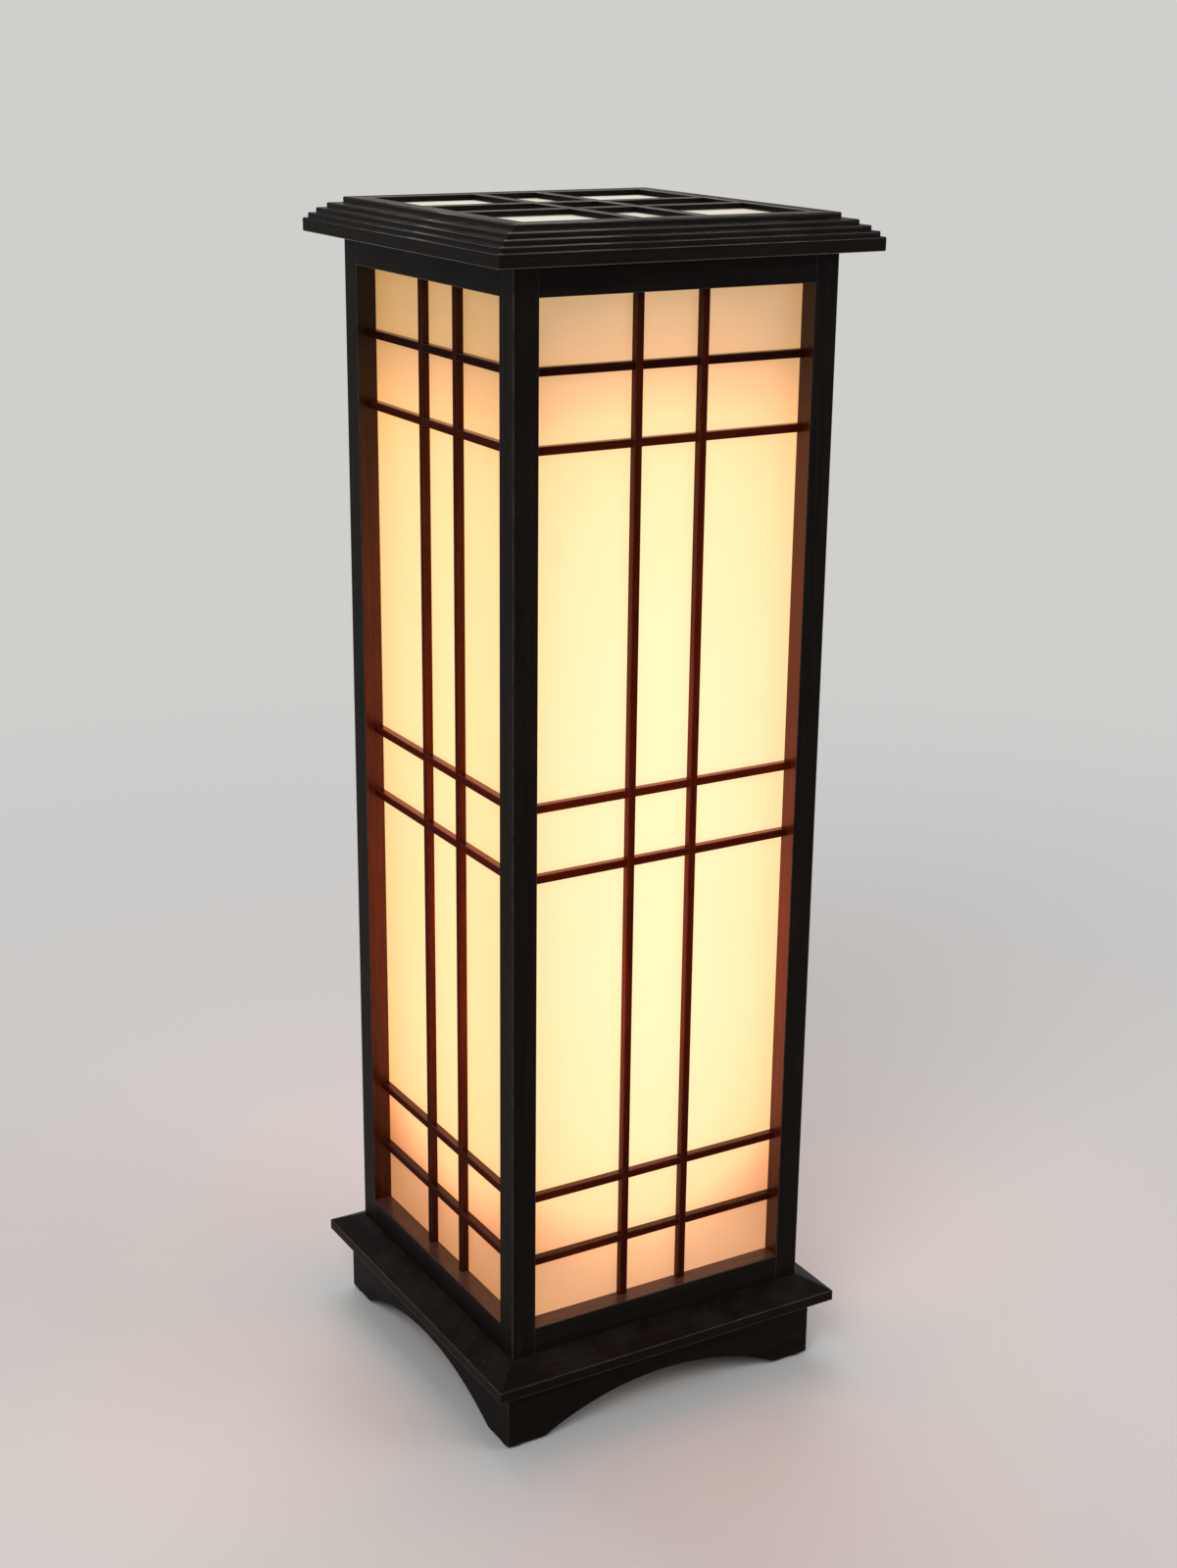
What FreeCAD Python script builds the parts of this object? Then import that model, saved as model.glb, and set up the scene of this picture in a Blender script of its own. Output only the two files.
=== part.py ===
import FreeCAD, Part
import math
import os
import Sketcher

# A tall square lantern lamp: a stepped roof, four lit panels behind a half-lapped lattice, and a flared plinth
# on an arched skirt. Millimetres, +Z up, origin on the table top under the middle of the lamp.
# A piece that repeats round the lamp is drawn on the right side (+X) and turned about Z to its own side.

doc = FreeCAD.newDocument("lantern_lamp")
vector = FreeCAD.Vector
sides = {"right": 0, "back": 90, "left": 180, "front": 270}
corners = {"back_right": 0, "back_left": 90, "front_left": 180, "front_right": 270}
nodes = []

drivingSizes = [
    ("bodyWidth", "172", "frame, across the outer faces of two posts"),
    ("postWidth", "13", "post, each visible face"),
    ("edgeRound", "0.6", "rounding of posts, roof steps and plinth lip"),
    ("revealDepth", "10.5", "from the post face back to the panel"),
    ("panelThickness", "2", "side panel"),
    ("panelGap", "0.3", "play round a side panel"),
    ("barWidth", "4", "lattice bar, seen from the front"),
    ("barDepth", "4", "lattice bar, front to back"),
    ("cellSize", "31", "clear width of the small lattice cells"),
    ("longCell", "164", "clear height of the tall lattice cells"),
    ("bottomRailHeight", "14.5", "bottom rail"),
    ("topRailHeight", "14.5", "top rail"),
    ("tenonThickness", "5", "stub tenon of a rail"),
    ("tenonEndGap", "0.5", "between the two tenons that meet in a post"),
    ("tenonInset", "3", "from the rail's outer face to its tenon"),
    ("tenonShoulder", "2.5", "from the rail's edges to its tenon"),
    ("padHeight", "1.2", "felt pad"),
    ("padDiameter", "11", "felt pad"),
    ("skirtThickness", "12", "skirt board"),
    ("skirtProud", "5.5", "skirt, outside the frame's face"),
    ("archWidth", "140", "arch in the skirt, at its foot"),
    ("archRise", "17.3", "arch in the skirt, foot to crown"),
    ("plinthHeight", "12.5", "plinth moulding"),
    ("lipHeight", "5.8", "upright lip of the plinth"),
    ("lipProud", "14.5", "lip, outside the frame's face"),
    ("plinthLedge", "1", "flat ledge round the frame's foot"),
    ("blockSize", "36", "corner block, plan"),
    ("blockHeight", "14.5", "corner block"),
    ("boardThickness", "6", "floor board"),
    ("cleatWidth", "8", "roof cleat"),
    ("cleatHeight", "10", "roof cleat, below the roof"),
    ("cleatGap", "0.7", "play between roof cleats and panels"),
    ("cleatCornerGap", "5", "from a roof cleat's end to its neighbour"),
    ("roofOverhang", "15", "roof, outside the frame's face"),
    ("fasciaHeight", "6.5", "lowest roof step"),
    ("stepHeight", "2.5", "each of the three middle roof steps"),
    ("topStepHeight", "3", "highest roof step and the roof lattice"),
    ("secondSetback", "2", "second step, behind the fascia"),
    ("thirdSetback", "3", "third step, behind the second"),
    ("fourthSetback", "4", "fourth step, behind the third"),
    ("topSetback", "6", "top step, behind the fourth"),
    ("roofBorder", "10", "flat border round the roof lattice"),
    ("roofReach", "24", "roof moulding, inwards from the frame's face"),
    ("roofBarWidth", "5", "roof lattice bar"),
    ("roofPanelThickness", "2", "roof panel"),
    ("grooveDepth", "4", "groove that holds the roof panel"),
    ("grooveGap", "0.3", "play of the roof panel in its groove"),
    ("coreWidth", "34", "light core tube, across its flats"),
    ("coreWall", "2", "light core tube"),
    ("coreHeadroom", "86.5", "from the core's end cap to the roof panel"),
    ("footWidth", "64", "core foot"),
    ("footThickness", "5", "core foot, its plate"),
    ("collarHeight", "18", "core foot, its collar"),
    ("collarWall", "3", "core foot, its collar"),
    ("coreGap", "0.2", "play of the core tube in its collar and of its cap"),
    ("capThickness", "3", "core end cap, above the tube"),
    ("capPlug", "8", "core end cap, inside the tube"),
    ("stripWidth", "10", "LED strip"),
    ("stripThickness", "0.4", "LED strip"),
    ("stripFootGap", "35", "least room from the core foot's collar to the LED strips"),
    ("stripHeadGap", "5.4", "from the tube's head to the LED strips"),
    ("ledPitch", "33.3", "LED to LED along a strip"),
    ("ledSize", "5", "LED, square"),
    ("ledHeight", "1.6", "LED, off its strip"),
    ("screwDiameter", "3.5", "wood screw"),
    ("boardScrewLength", "16", "wood screw of the floor board, under its head"),
    ("footScrewLength", "10.5", "wood screw of the core foot, under its head"),
    ("screwHead", "7", "wood screw, across its head"),
    ("screwHeadHeight", "2.4", "wood screw"),
    ("screwGap", "0.1", "play of a screw in its hole"),
    ("jackDiameter", "10.6", "inlet jack, its barrel"),
    ("jackLength", "24", "inlet jack, inwards from the skirt face"),
    ("flangeRim", "2.2", "inlet jack, its flange outside the barrel"),
    ("flangeMargin", "0.5", "from the jack's flange to the arch and the plinth"),
    ("jackFlangeThickness", "2", "inlet jack"),
    ("jackBore", "6.4", "inlet jack, its socket"),
    ("jackBoreDepth", "10", "inlet jack, its socket"),
    ("jackPin", "2.1", "inlet jack, its centre pin"),
    ("jackGap", "0.2", "play of the jack in the skirt and nut"),
    ("nutWall", "1.4", "jack nut, its wall at the flats"),
    ("nutThickness", "3.5", "jack nut"),
    ("leadDiameter", "4", "lead from the inlet to the core"),
    ("leadBend", "14", "bend of the lead, at its middle line"),
    ("leadGap", "2", "room round the lead in the core foot"),
]

workedOutSizes = [
    ("bodyHalf", "=Sizes.bodyWidth / 2"),
    ("openHalf", "=bodyHalf - Sizes.postWidth"),
    ("panelOuter", "=bodyHalf - Sizes.revealDepth"),
    ("panelInner", "=panelOuter - Sizes.panelThickness"),
    ("barFront", "=panelOuter + Sizes.barDepth"),
    ("cellPitch", "=Sizes.cellSize + Sizes.barWidth"),
    ("longPitch", "=Sizes.longCell + Sizes.barWidth"),
    ("tenonOuter", "=bodyHalf - Sizes.tenonInset"),
    ("tenonInner", "=tenonOuter - Sizes.tenonThickness"),
    ("tenonHalf", "=tenonInner - Sizes.tenonEndGap"),
    ("skirtHalf", "=bodyHalf + Sizes.skirtProud"),
    ("skirtInner", "=skirtHalf - Sizes.skirtThickness"),
    ("jackHole", "=Sizes.jackDiameter + 2 * Sizes.jackGap"),
    ("jackFlange", "=Sizes.jackDiameter + 2 * Sizes.flangeRim"),
    ("archCrown", "=Sizes.padHeight + Sizes.archRise"),
    ("archRadius", "=(Sizes.archWidth ^ 2 / 4 + Sizes.archRise ^ 2) / (2 * Sizes.archRise)"),
    ("archCentre", "=archCrown - archRadius"),
    ("lipHalf", "=bodyHalf + Sizes.lipProud"),
    ("plinthInner", "=panelOuter + Sizes.panelGap"),
    ("ledgeHalf", "=bodyHalf + Sizes.plinthLedge"),
    ("plinthBottom", "=archCrown + jackFlange + 2 * Sizes.flangeMargin"),
    ("inletHeight", "=(archCrown + plinthBottom) / 2"),
    ("lipTop", "=plinthBottom + Sizes.lipHeight"),
    ("frameBottom", "=plinthBottom + Sizes.plinthHeight"),
    ("sillTop", "=frameBottom + Sizes.bottomRailHeight"),
    ("openHeight", "=5 * Sizes.cellSize + 2 * Sizes.longCell + 6 * Sizes.barWidth",
     "five small rows, two tall rows and the crossbars between them"),
    ("openTop", "=sillTop + openHeight"),
    ("frameTop", "=openTop + Sizes.topRailHeight"),
    ("boardTop", "=plinthBottom + Sizes.boardThickness"),
    ("boardHalf", "=panelInner - Sizes.panelGap"),
    ("boardScrew", "=(skirtInner - Sizes.blockSize + boardHalf) / 2"),
    ("cleatOuter", "=panelInner - Sizes.cleatGap"),
    ("cleatInner", "=cleatOuter - Sizes.cleatWidth"),
    ("roofHalf", "=bodyHalf + Sizes.roofOverhang"),
    ("secondHalf", "=roofHalf - Sizes.secondSetback"),
    ("thirdHalf", "=secondHalf - Sizes.thirdSetback"),
    ("fourthHalf", "=thirdHalf - Sizes.fourthSetback"),
    ("topHalf", "=fourthHalf - Sizes.topSetback"),
    ("fasciaTop", "=frameTop + Sizes.fasciaHeight"),
    ("secondTop", "=fasciaTop + Sizes.stepHeight"),
    ("thirdTop", "=secondTop + Sizes.stepHeight"),
    ("fourthTop", "=thirdTop + Sizes.stepHeight"),
    ("roofTop", "=fourthTop + Sizes.topStepHeight"),
    ("roofInner", "=bodyHalf - Sizes.roofReach"),
    ("roofOpenHalf", "=topHalf - Sizes.roofBorder"),
    ("roofPanelBottom", "=fourthTop - Sizes.roofPanelThickness"),
    ("grooveHalf", "=roofOpenHalf + Sizes.grooveDepth"),
    ("coreHalf", "=Sizes.coreWidth / 2"),
    ("coreBottom", "=boardTop + Sizes.footThickness"),
    ("coreTop", "=roofPanelBottom - Sizes.coreHeadroom - Sizes.capThickness"),
    ("collarHalf", "=coreHalf + Sizes.coreGap + Sizes.collarWall"),
    ("footHalf", "=Sizes.footWidth / 2"),
    ("footScrew", "=(footHalf + collarHalf) / 2"),
    ("stripTop", "=coreTop - Sizes.stripHeadGap"),
    ("stripRoom", "=stripTop - coreBottom - Sizes.collarHeight - Sizes.stripFootGap"),
    ("leadHole", "=Sizes.leadDiameter + 2 * Sizes.leadGap"),
]


# Sheets and expressions

def fillSheet(name, rows):
    sheet = doc.addObject("Spreadsheet::Sheet", name)
    for row, (alias, content, *note) in enumerate(rows, start=1):
        sheet.set(f"A{row}", alias)
        sheet.set(f"B{row}", content)
        sheet.setAlias(f"B{row}", alias)
        if note:
            sheet.set(f"C{row}", note[0])
    doc.recompute()
    return sheet


sizes = fillSheet("Sizes", drivingSizes)
fillSheet("Layout", workedOutSizes)


def number(text):
    return float(sizes.evalExpression(text))


# Sketches: every point is held by its own distances from the origin, each bound to the sheets

def pin(sketch, edge, end, across, up):
    for kind, text, axis in (("DistanceX", across, -2), ("DistanceY", up, -1)):
        value = number(text)
        if value == 0:
            sketch.addConstraint(Sketcher.Constraint("PointOnObject", edge, end, axis))
        elif value > 0:
            held = sketch.addConstraint(Sketcher.Constraint(kind, -1, 1, edge, end, value))
            sketch.setExpression(f"Constraints[{held}]", text)
        else:
            held = sketch.addConstraint(Sketcher.Constraint(kind, edge, end, -1, 1, -value))
            sketch.setExpression(f"Constraints[{held}]", f"-({text})")


def newSketch(body, role, lift=None):
    sketch = body.newObject("Sketcher::SketchObject", f"{body.Name}_sketch")
    plane = next(item for item in body.Origin.OriginFeatures if item.Role == role)
    sketch.AttachmentSupport = [(plane, "")]
    sketch.MapMode = "FlatFace"
    if lift:
        sketch.setExpression("AttachmentOffset.Base.z", lift)
    return sketch


def addOutline(sketch, points):
    first = sketch.GeometryCount
    places = [vector(number(across), number(up), 0) for across, up in points]
    for start, finish in zip(places, places[1:] + places[:1]):
        sketch.addGeometry(Part.LineSegment(start, finish), False)
    count = len(points)
    for index, (across, up) in enumerate(points):
        following = first + (index + 1) % count
        sketch.addConstraint(Sketcher.Constraint("Coincident", first + index, 2, following, 1))
        pin(sketch, first + index, 1, across, up)


def addRectangle(sketch, left, bottom, right, top):
    addOutline(sketch, [(left, bottom), (right, bottom), (right, top), (left, top)])


def addCircle(sketch, across, up, diameter):
    middle = vector(number(across), number(up), 0)
    edge = sketch.addGeometry(Part.Circle(middle, vector(0, 0, 1), number(diameter) / 2), False)
    pin(sketch, edge, 3, across, up)
    held = sketch.addConstraint(Sketcher.Constraint("Diameter", edge, number(diameter)))
    sketch.setExpression(f"Constraints[{held}]", diameter)


# Features of a body

def turned(angle):
    return FreeCAD.Placement(vector(0, 0, 0), FreeCAD.Rotation(vector(0, 0, 1), angle))


def newBody(label, angle=0):
    body = doc.addObject("PartDesign::Body", label)
    body.Placement = turned(angle)
    nodes.append(body)
    return body


def pad(body, sketch, length, side="One side"):
    feature = body.newObject("PartDesign::Pad", f"{body.Name}_pad")
    feature.Profile = sketch
    feature.SideType = side
    feature.setExpression("Length", length)
    return feature


def cut(body, sketch, length=None):
    feature = body.newObject("PartDesign::Pocket", f"{body.Name}_cut")
    feature.Profile = sketch
    feature.SideType = "Symmetric"
    if length:
        feature.setExpression("Length", length)
    else:
        feature.Type = "ThroughAll"
    return feature


def roundEdges(body, feature, lines):
    # each line is a test that only the points of one long edge pass
    doc.recompute()
    names = []
    for index, edge in enumerate(feature.Shape.Edges, start=1):
        ends = [vertex.Point for vertex in edge.Vertexes]
        if any(all(onLine(end) for end in ends) for onLine in lines):
            names.append(f"Edge{index}")
    rounded = body.newObject("PartDesign::Fillet", f"{body.Name}_round")
    rounded.Base = (feature, names)
    rounded.setExpression("Radius", "Sizes.edgeRound")
    return rounded


def lineAt(firstAxis, secondAxis, first, second):
    wanted = (number(first), number(second))

    def onLine(point):
        found = (getattr(point, firstAxis), getattr(point, secondAxis))
        return math.isclose(found[0], wanted[0], abs_tol=1e-4) and math.isclose(found[1], wanted[1], abs_tol=1e-4)

    return onLine


def cutMitres(body, inner, outer):
    sketch = newSketch(body, "XY_Plane")
    near = f"(2 * {inner} - {outer})"
    far = f"(2 * {outer} - {inner})"
    addOutline(sketch, [(near, near), (far, far), (near, far)])
    addOutline(sketch, [(near, f"-{near}"), (near, f"-{far}"), (far, f"-{far}")])
    return cut(body, sketch)


# Solids made from primitives

def place(item, across, deep, up):
    item.setExpression("Placement.Base.x", across)
    item.setExpression("Placement.Base.y", deep)
    item.setExpression("Placement.Base.z", up)


def box(name, low, high):
    item = doc.addObject("Part::Box", name)
    place(item, *low)
    for prop, start, finish in zip(("Length", "Width", "Height"), low, high):
        item.setExpression(prop, f"({finish}) - ({start})")
    return item


def cylinder(name, middle, diameter, height, alongX=False):
    item = doc.addObject("Part::Cylinder", name)
    if alongX:
        item.Placement = FreeCAD.Placement(vector(0, 0, 0), FreeCAD.Rotation(vector(0, 1, 0), 90))
    place(item, *middle)
    item.setExpression("Radius", f"({diameter}) / 2")
    item.setExpression("Height", height)
    return item


def group(name, members, angle=0):
    item = doc.addObject("Part::Compound", name)
    item.Links = members
    item.Placement = turned(angle)
    return item


def ring(name, members):
    return group(name, [group(f"{name}_{side}", members, angle) for side, angle in sides.items()])


def combine(kind, name, base, tool, angle=0):
    item = doc.addObject(f"Part::{kind}", name)
    item.Base = base
    item.Tool = tool
    item.Placement = turned(angle)
    return item


# Base: felt pads, arched skirt, corner blocks and plinth

padPlace = "Layout.skirtHalf - Sizes.skirtThickness / 2"
onePad = cylinder("foot_pad", (padPlace, padPlace, "0"), "Sizes.padDiameter", "Sizes.padHeight")
nodes.append(ring("foot_pads", [onePad]))


def makeSkirt(side, angle):
    body = newBody(f"skirt_{side}", angle)
    section = newSketch(body, "XZ_Plane")
    addRectangle(section, "Layout.skirtInner", "Sizes.padHeight", "Layout.skirtHalf", "Layout.plinthBottom")
    pad(body, section, "2 * Layout.skirtHalf", "Symmetric")
    cutMitres(body, "Layout.skirtInner", "Layout.skirtHalf")
    arch = newSketch(body, "YZ_Plane")
    addCircle(arch, "0", "Layout.archCentre", "2 * Layout.archRadius")
    cut(body, arch)
    if side == "back":
        inlet = newSketch(body, "YZ_Plane")
        addCircle(inlet, "0", "Layout.inletHeight", "Layout.jackHole")
        cut(body, inlet)


def makePlinth(side, angle):
    body = newBody(f"plinth_{side}", angle)
    section = newSketch(body, "XZ_Plane")
    addOutline(section, [
        ("Layout.plinthInner", "Layout.plinthBottom"),
        ("Layout.lipHalf", "Layout.plinthBottom"),
        ("Layout.lipHalf", "Layout.lipTop"),
        ("Layout.ledgeHalf", "Layout.frameBottom"),
        ("Layout.plinthInner", "Layout.frameBottom"),
    ])
    moulding = pad(body, section, "2 * Layout.lipHalf", "Symmetric")
    roundEdges(body, moulding, [
        lineAt("x", "z", "Layout.lipHalf", "Layout.plinthBottom"),
        lineAt("x", "z", "Layout.lipHalf", "Layout.lipTop"),
    ])
    cutMitres(body, "Layout.plinthInner", "Layout.lipHalf")


for side, angle in sides.items():
    makeSkirt(side, angle)
    makePlinth(side, angle)


# Floor board on its corner blocks, held by screws

def screws(name, spot, seat, length):
    # one pan-head screw at a diagonal corner, repeated round the lamp
    head = doc.addObject("Part::Cone", f"{name}_head")
    place(head, spot, spot, seat)
    head.setExpression("Radius1", "Sizes.screwHead / 2")
    head.setExpression("Radius2", "Sizes.screwHead / 3")
    head.setExpression("Height", "Sizes.screwHeadHeight")
    shank = cylinder(f"{name}_shank", (spot, spot, f"{seat} - {length}"), "Sizes.screwDiameter", length)
    nodes.append(ring(name, [combine("Fuse", f"{name}_one", head, shank)]))


screwHole = "Sizes.screwDiameter + 2 * Sizes.screwGap"


def drillCorners(body, spot):
    holes = newSketch(body, "XY_Plane")
    for across in (spot, f"-({spot})"):
        for up in (spot, f"-({spot})"):
            addCircle(holes, across, up, screwHole)
    cut(body, holes)


blockInner = "Layout.skirtInner - Sizes.blockSize"
blockBottom = "Layout.plinthBottom - Sizes.blockHeight"
block = box("corner_block", (blockInner, blockInner, blockBottom),
            ("Layout.skirtInner", "Layout.skirtInner", "Layout.plinthBottom"))
pilot = cylinder("block_pilot", ("Layout.boardScrew", "Layout.boardScrew", blockBottom), screwHole,
                 "Sizes.blockHeight")
nodes.append(ring("corner_blocks", [combine("Cut", "corner_block_drilled", block, pilot)]))

floorBoard = newBody("floor_board")
boardPlan = newSketch(floorBoard, "XY_Plane", "Layout.plinthBottom")
addRectangle(boardPlan, "-Layout.boardHalf", "-Layout.boardHalf", "Layout.boardHalf", "Layout.boardHalf")
pad(floorBoard, boardPlan, "Sizes.boardThickness")
drillCorners(floorBoard, "Layout.boardScrew")
drillCorners(floorBoard, "Layout.footScrew")
leadWay = newSketch(floorBoard, "XY_Plane")
addRectangle(leadWay, "-Layout.leadHole / 2", "-Layout.leadHole / 2", "Layout.leadHole / 2", "Layout.leadHole")
cut(floorBoard, leadWay)

screws("board_screws", "Layout.boardScrew", "Layout.boardTop", "Sizes.boardScrewLength")


# Frame: posts with mortises, rails with stub tenons

def makePost(corner, angle):
    body = newBody(f"post_{corner}", angle)
    plan = newSketch(body, "XY_Plane", "Layout.frameBottom")
    addOutline(plan, [
        ("Layout.panelOuter", "Layout.openHalf"),
        ("Layout.bodyHalf", "Layout.openHalf"),
        ("Layout.bodyHalf", "Layout.bodyHalf"),
        ("Layout.openHalf", "Layout.bodyHalf"),
        ("Layout.openHalf", "Layout.panelOuter"),
        ("Layout.panelOuter", "Layout.panelOuter"),
    ])
    shaft = pad(body, plan, "Layout.frameTop - Layout.frameBottom")
    roundEdges(body, shaft, [lineAt("x", "y", "Layout.bodyHalf", "Layout.bodyHalf")])
    for role in ("XZ_Plane", "YZ_Plane"):
        mortises = newSketch(body, role)
        for bottom, top in (("Layout.frameBottom", "Layout.sillTop"), ("Layout.openTop", "Layout.frameTop")):
            addRectangle(mortises, "Layout.tenonInner", f"{bottom} + Sizes.tenonShoulder",
                         "Layout.tenonOuter", f"{top} - Sizes.tenonShoulder")
        cut(body, mortises, "2 * Layout.tenonHalf")


def makeRail(label, angle, bottom, top):
    body = newBody(label, angle)
    section = newSketch(body, "XZ_Plane")
    addRectangle(section, "Layout.panelOuter", bottom, "Layout.bodyHalf", top)
    pad(body, section, "2 * Layout.openHalf", "Symmetric")
    tenons = newSketch(body, "XZ_Plane")
    addRectangle(tenons, "Layout.tenonInner", f"{bottom} + Sizes.tenonShoulder",
                 "Layout.tenonOuter", f"{top} - Sizes.tenonShoulder")
    pad(body, tenons, "2 * Layout.tenonHalf", "Symmetric")


for corner, angle in corners.items():
    makePost(corner, angle)
for side, angle in sides.items():
    makeRail(f"bottom_rail_{side}", angle, "Layout.frameBottom", "Layout.sillTop")
    makeRail(f"top_rail_{side}", angle, "Layout.openTop", "Layout.frameTop")


# Lattice: two uprights and three pairs of crossbars on each face, half-lapped where they cross

uprightMiddles = ("-Layout.cellPitch / 2", "Layout.cellPitch / 2")
crossbarBottoms = [
    f"Layout.sillTop + Sizes.cellSize + {small} * Layout.cellPitch + {tall} * Layout.longPitch"
    for small, tall in ((0, 0), (1, 0), (1, 1), (2, 1), (2, 2), (3, 2))
]
lapPlane = "Layout.panelOuter + Sizes.barDepth / 2"


def uprightBox(name, middle, inner, outer, bottom, top):
    return box(name, (inner, f"{middle} - Sizes.barWidth / 2", bottom),
               (outer, f"{middle} + Sizes.barWidth / 2", top))


def crossbarBox(name, bottom, inner, outer):
    return box(name, (inner, "-Layout.openHalf", bottom), (outer, "Layout.openHalf", f"{bottom} + Sizes.barWidth"))


uprights = [
    uprightBox("upright_bar", middle, "Layout.panelOuter", "Layout.barFront", "Layout.sillTop", "Layout.openTop")
    for middle in uprightMiddles
]
uprightLaps = [crossbarBox("upright_lap", bottom, "Layout.panelOuter", lapPlane) for bottom in crossbarBottoms]
crossbars = [crossbarBox("crossbar", bottom, "Layout.panelOuter", "Layout.barFront") for bottom in crossbarBottoms]
crossbarLaps = [
    uprightBox("crossbar_lap", middle, lapPlane, "Layout.barFront", "Layout.sillTop", "Layout.openTop")
    for middle in uprightMiddles
]
plainUprights = group("plain_uprights", uprights)
plainCrossbars = group("plain_crossbars", crossbars)
uprightWaste = group("upright_waste", uprightLaps)
crossbarWaste = group("crossbar_waste", crossbarLaps)
for side, angle in sides.items():
    nodes.append(combine("Cut", f"uprights_{side}", plainUprights, uprightWaste, angle))
    nodes.append(combine("Cut", f"crossbars_{side}", plainCrossbars, crossbarWaste, angle))


# Side panels with mitred edges: they stand on the corner blocks, between the plinth and the floor board

def makePanel(side, angle):
    body = newBody(f"panel_{side}", angle)
    plan = newSketch(body, "XY_Plane", "Layout.plinthBottom")
    outerEdge = "(Layout.panelOuter - Sizes.panelGap)"
    innerEdge = "(Layout.panelInner - Sizes.panelGap)"
    addOutline(plan, [
        ("Layout.panelInner", f"-{innerEdge}"),
        ("Layout.panelOuter", f"-{outerEdge}"),
        ("Layout.panelOuter", outerEdge),
        ("Layout.panelInner", innerEdge),
    ])
    pad(body, plan, "Layout.frameTop - Layout.plinthBottom - Sizes.panelGap")


for side, angle in sides.items():
    makePanel(side, angle)


# Light core: foot, tube, end cap, LED strips and LEDs

coreFoot = newBody("core_foot")
footPlan = newSketch(coreFoot, "XY_Plane", "Layout.boardTop")
addRectangle(footPlan, "-Layout.footHalf", "-Layout.footHalf", "Layout.footHalf", "Layout.footHalf")
pad(coreFoot, footPlan, "Sizes.footThickness")
collarPlan = newSketch(coreFoot, "XY_Plane", "Layout.coreBottom")
collarBore = "(Layout.coreHalf + Sizes.coreGap)"
addRectangle(collarPlan, "-Layout.collarHalf", "-Layout.collarHalf", "Layout.collarHalf", "Layout.collarHalf")
addRectangle(collarPlan, f"-{collarBore}", f"-{collarBore}", collarBore, collarBore)
pad(coreFoot, collarPlan, "Sizes.collarHeight")
drillCorners(coreFoot, "Layout.footScrew")
footWay = newSketch(coreFoot, "XY_Plane")
addCircle(footWay, "0", "0", "Layout.leadHole")
cut(coreFoot, footWay)

screws("foot_screws", "Layout.footScrew", "Layout.coreBottom", "Sizes.footScrewLength")

coreTube = newBody("core_tube")
tubePlan = newSketch(coreTube, "XY_Plane", "Layout.coreBottom")
tubeBore = "(Layout.coreHalf - Sizes.coreWall)"
addRectangle(tubePlan, "-Layout.coreHalf", "-Layout.coreHalf", "Layout.coreHalf", "Layout.coreHalf")
addRectangle(tubePlan, f"-{tubeBore}", f"-{tubeBore}", tubeBore, tubeBore)
pad(coreTube, tubePlan, "Layout.coreTop - Layout.coreBottom")

coreCap = newBody("core_cap")
capPlan = newSketch(coreCap, "XY_Plane", "Layout.coreTop")
addRectangle(capPlan, "-Layout.coreHalf", "-Layout.coreHalf", "Layout.coreHalf", "Layout.coreHalf")
pad(coreCap, capPlan, "Sizes.capThickness")
plugPlan = newSketch(coreCap, "XY_Plane", "Layout.coreTop - Sizes.capPlug")
plugHalf = f"({tubeBore} - Sizes.coreGap)"
addRectangle(plugPlan, f"-{plugHalf}", f"-{plugHalf}", plugHalf, plugHalf)
pad(coreCap, plugPlan, "Sizes.capPlug")

stripFace = "Layout.coreHalf + Sizes.stripThickness"
ledCount = int(number("Layout.stripRoom / Sizes.ledPitch"))
for side, angle in sides.items():
    strip = newBody(f"led_strip_{side}", angle)
    stripPlan = newSketch(strip, "XY_Plane", f"Layout.stripTop - {ledCount} * Sizes.ledPitch")
    addRectangle(stripPlan, "Layout.coreHalf", "-Sizes.stripWidth / 2", stripFace, "Sizes.stripWidth / 2")
    pad(strip, stripPlan, f"{ledCount} * Sizes.ledPitch")

leds = []
for index in range(ledCount):
    ledMiddle = f"Layout.stripTop - {index + 0.5} * Sizes.ledPitch"
    leds.append(box("led", (stripFace, "-Sizes.ledSize / 2", f"{ledMiddle} - Sizes.ledSize / 2"),
                    (f"{stripFace} + Sizes.ledHeight", "Sizes.ledSize / 2", f"{ledMiddle} + Sizes.ledSize / 2")))
nodes.append(ring("led_chips", leds))


# Power inlet in the back skirt, and the lead from it to the core

jackStart = "Layout.skirtHalf - Sizes.jackLength"
jackMouth = "Layout.skirtHalf + Sizes.jackFlangeThickness"
socketEnd = f"{jackMouth} - Sizes.jackBoreDepth"
barrel = cylinder("jack_barrel", (jackStart, "0", "Layout.inletHeight"), "Sizes.jackDiameter",
                  "Sizes.jackLength", True)
flange = cylinder("jack_flange", ("Layout.skirtHalf", "0", "Layout.inletHeight"), "Layout.jackFlange",
                  "Sizes.jackFlangeThickness", True)
socket = cylinder("jack_socket", (socketEnd, "0", "Layout.inletHeight"), "Sizes.jackBore",
                  "Sizes.jackBoreDepth", True)
socketPin = cylinder("jack_pin", (socketEnd, "0", "Layout.inletHeight"), "Sizes.jackPin",
                "Sizes.jackBoreDepth - Sizes.jackFlangeThickness", True)
jackShell = combine("Cut", "jack_shell", combine("Fuse", "jack_blank", flange, barrel), socket)
nodes.append(combine("Fuse", "power_jack", jackShell, socketPin, sides["back"]))

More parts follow.
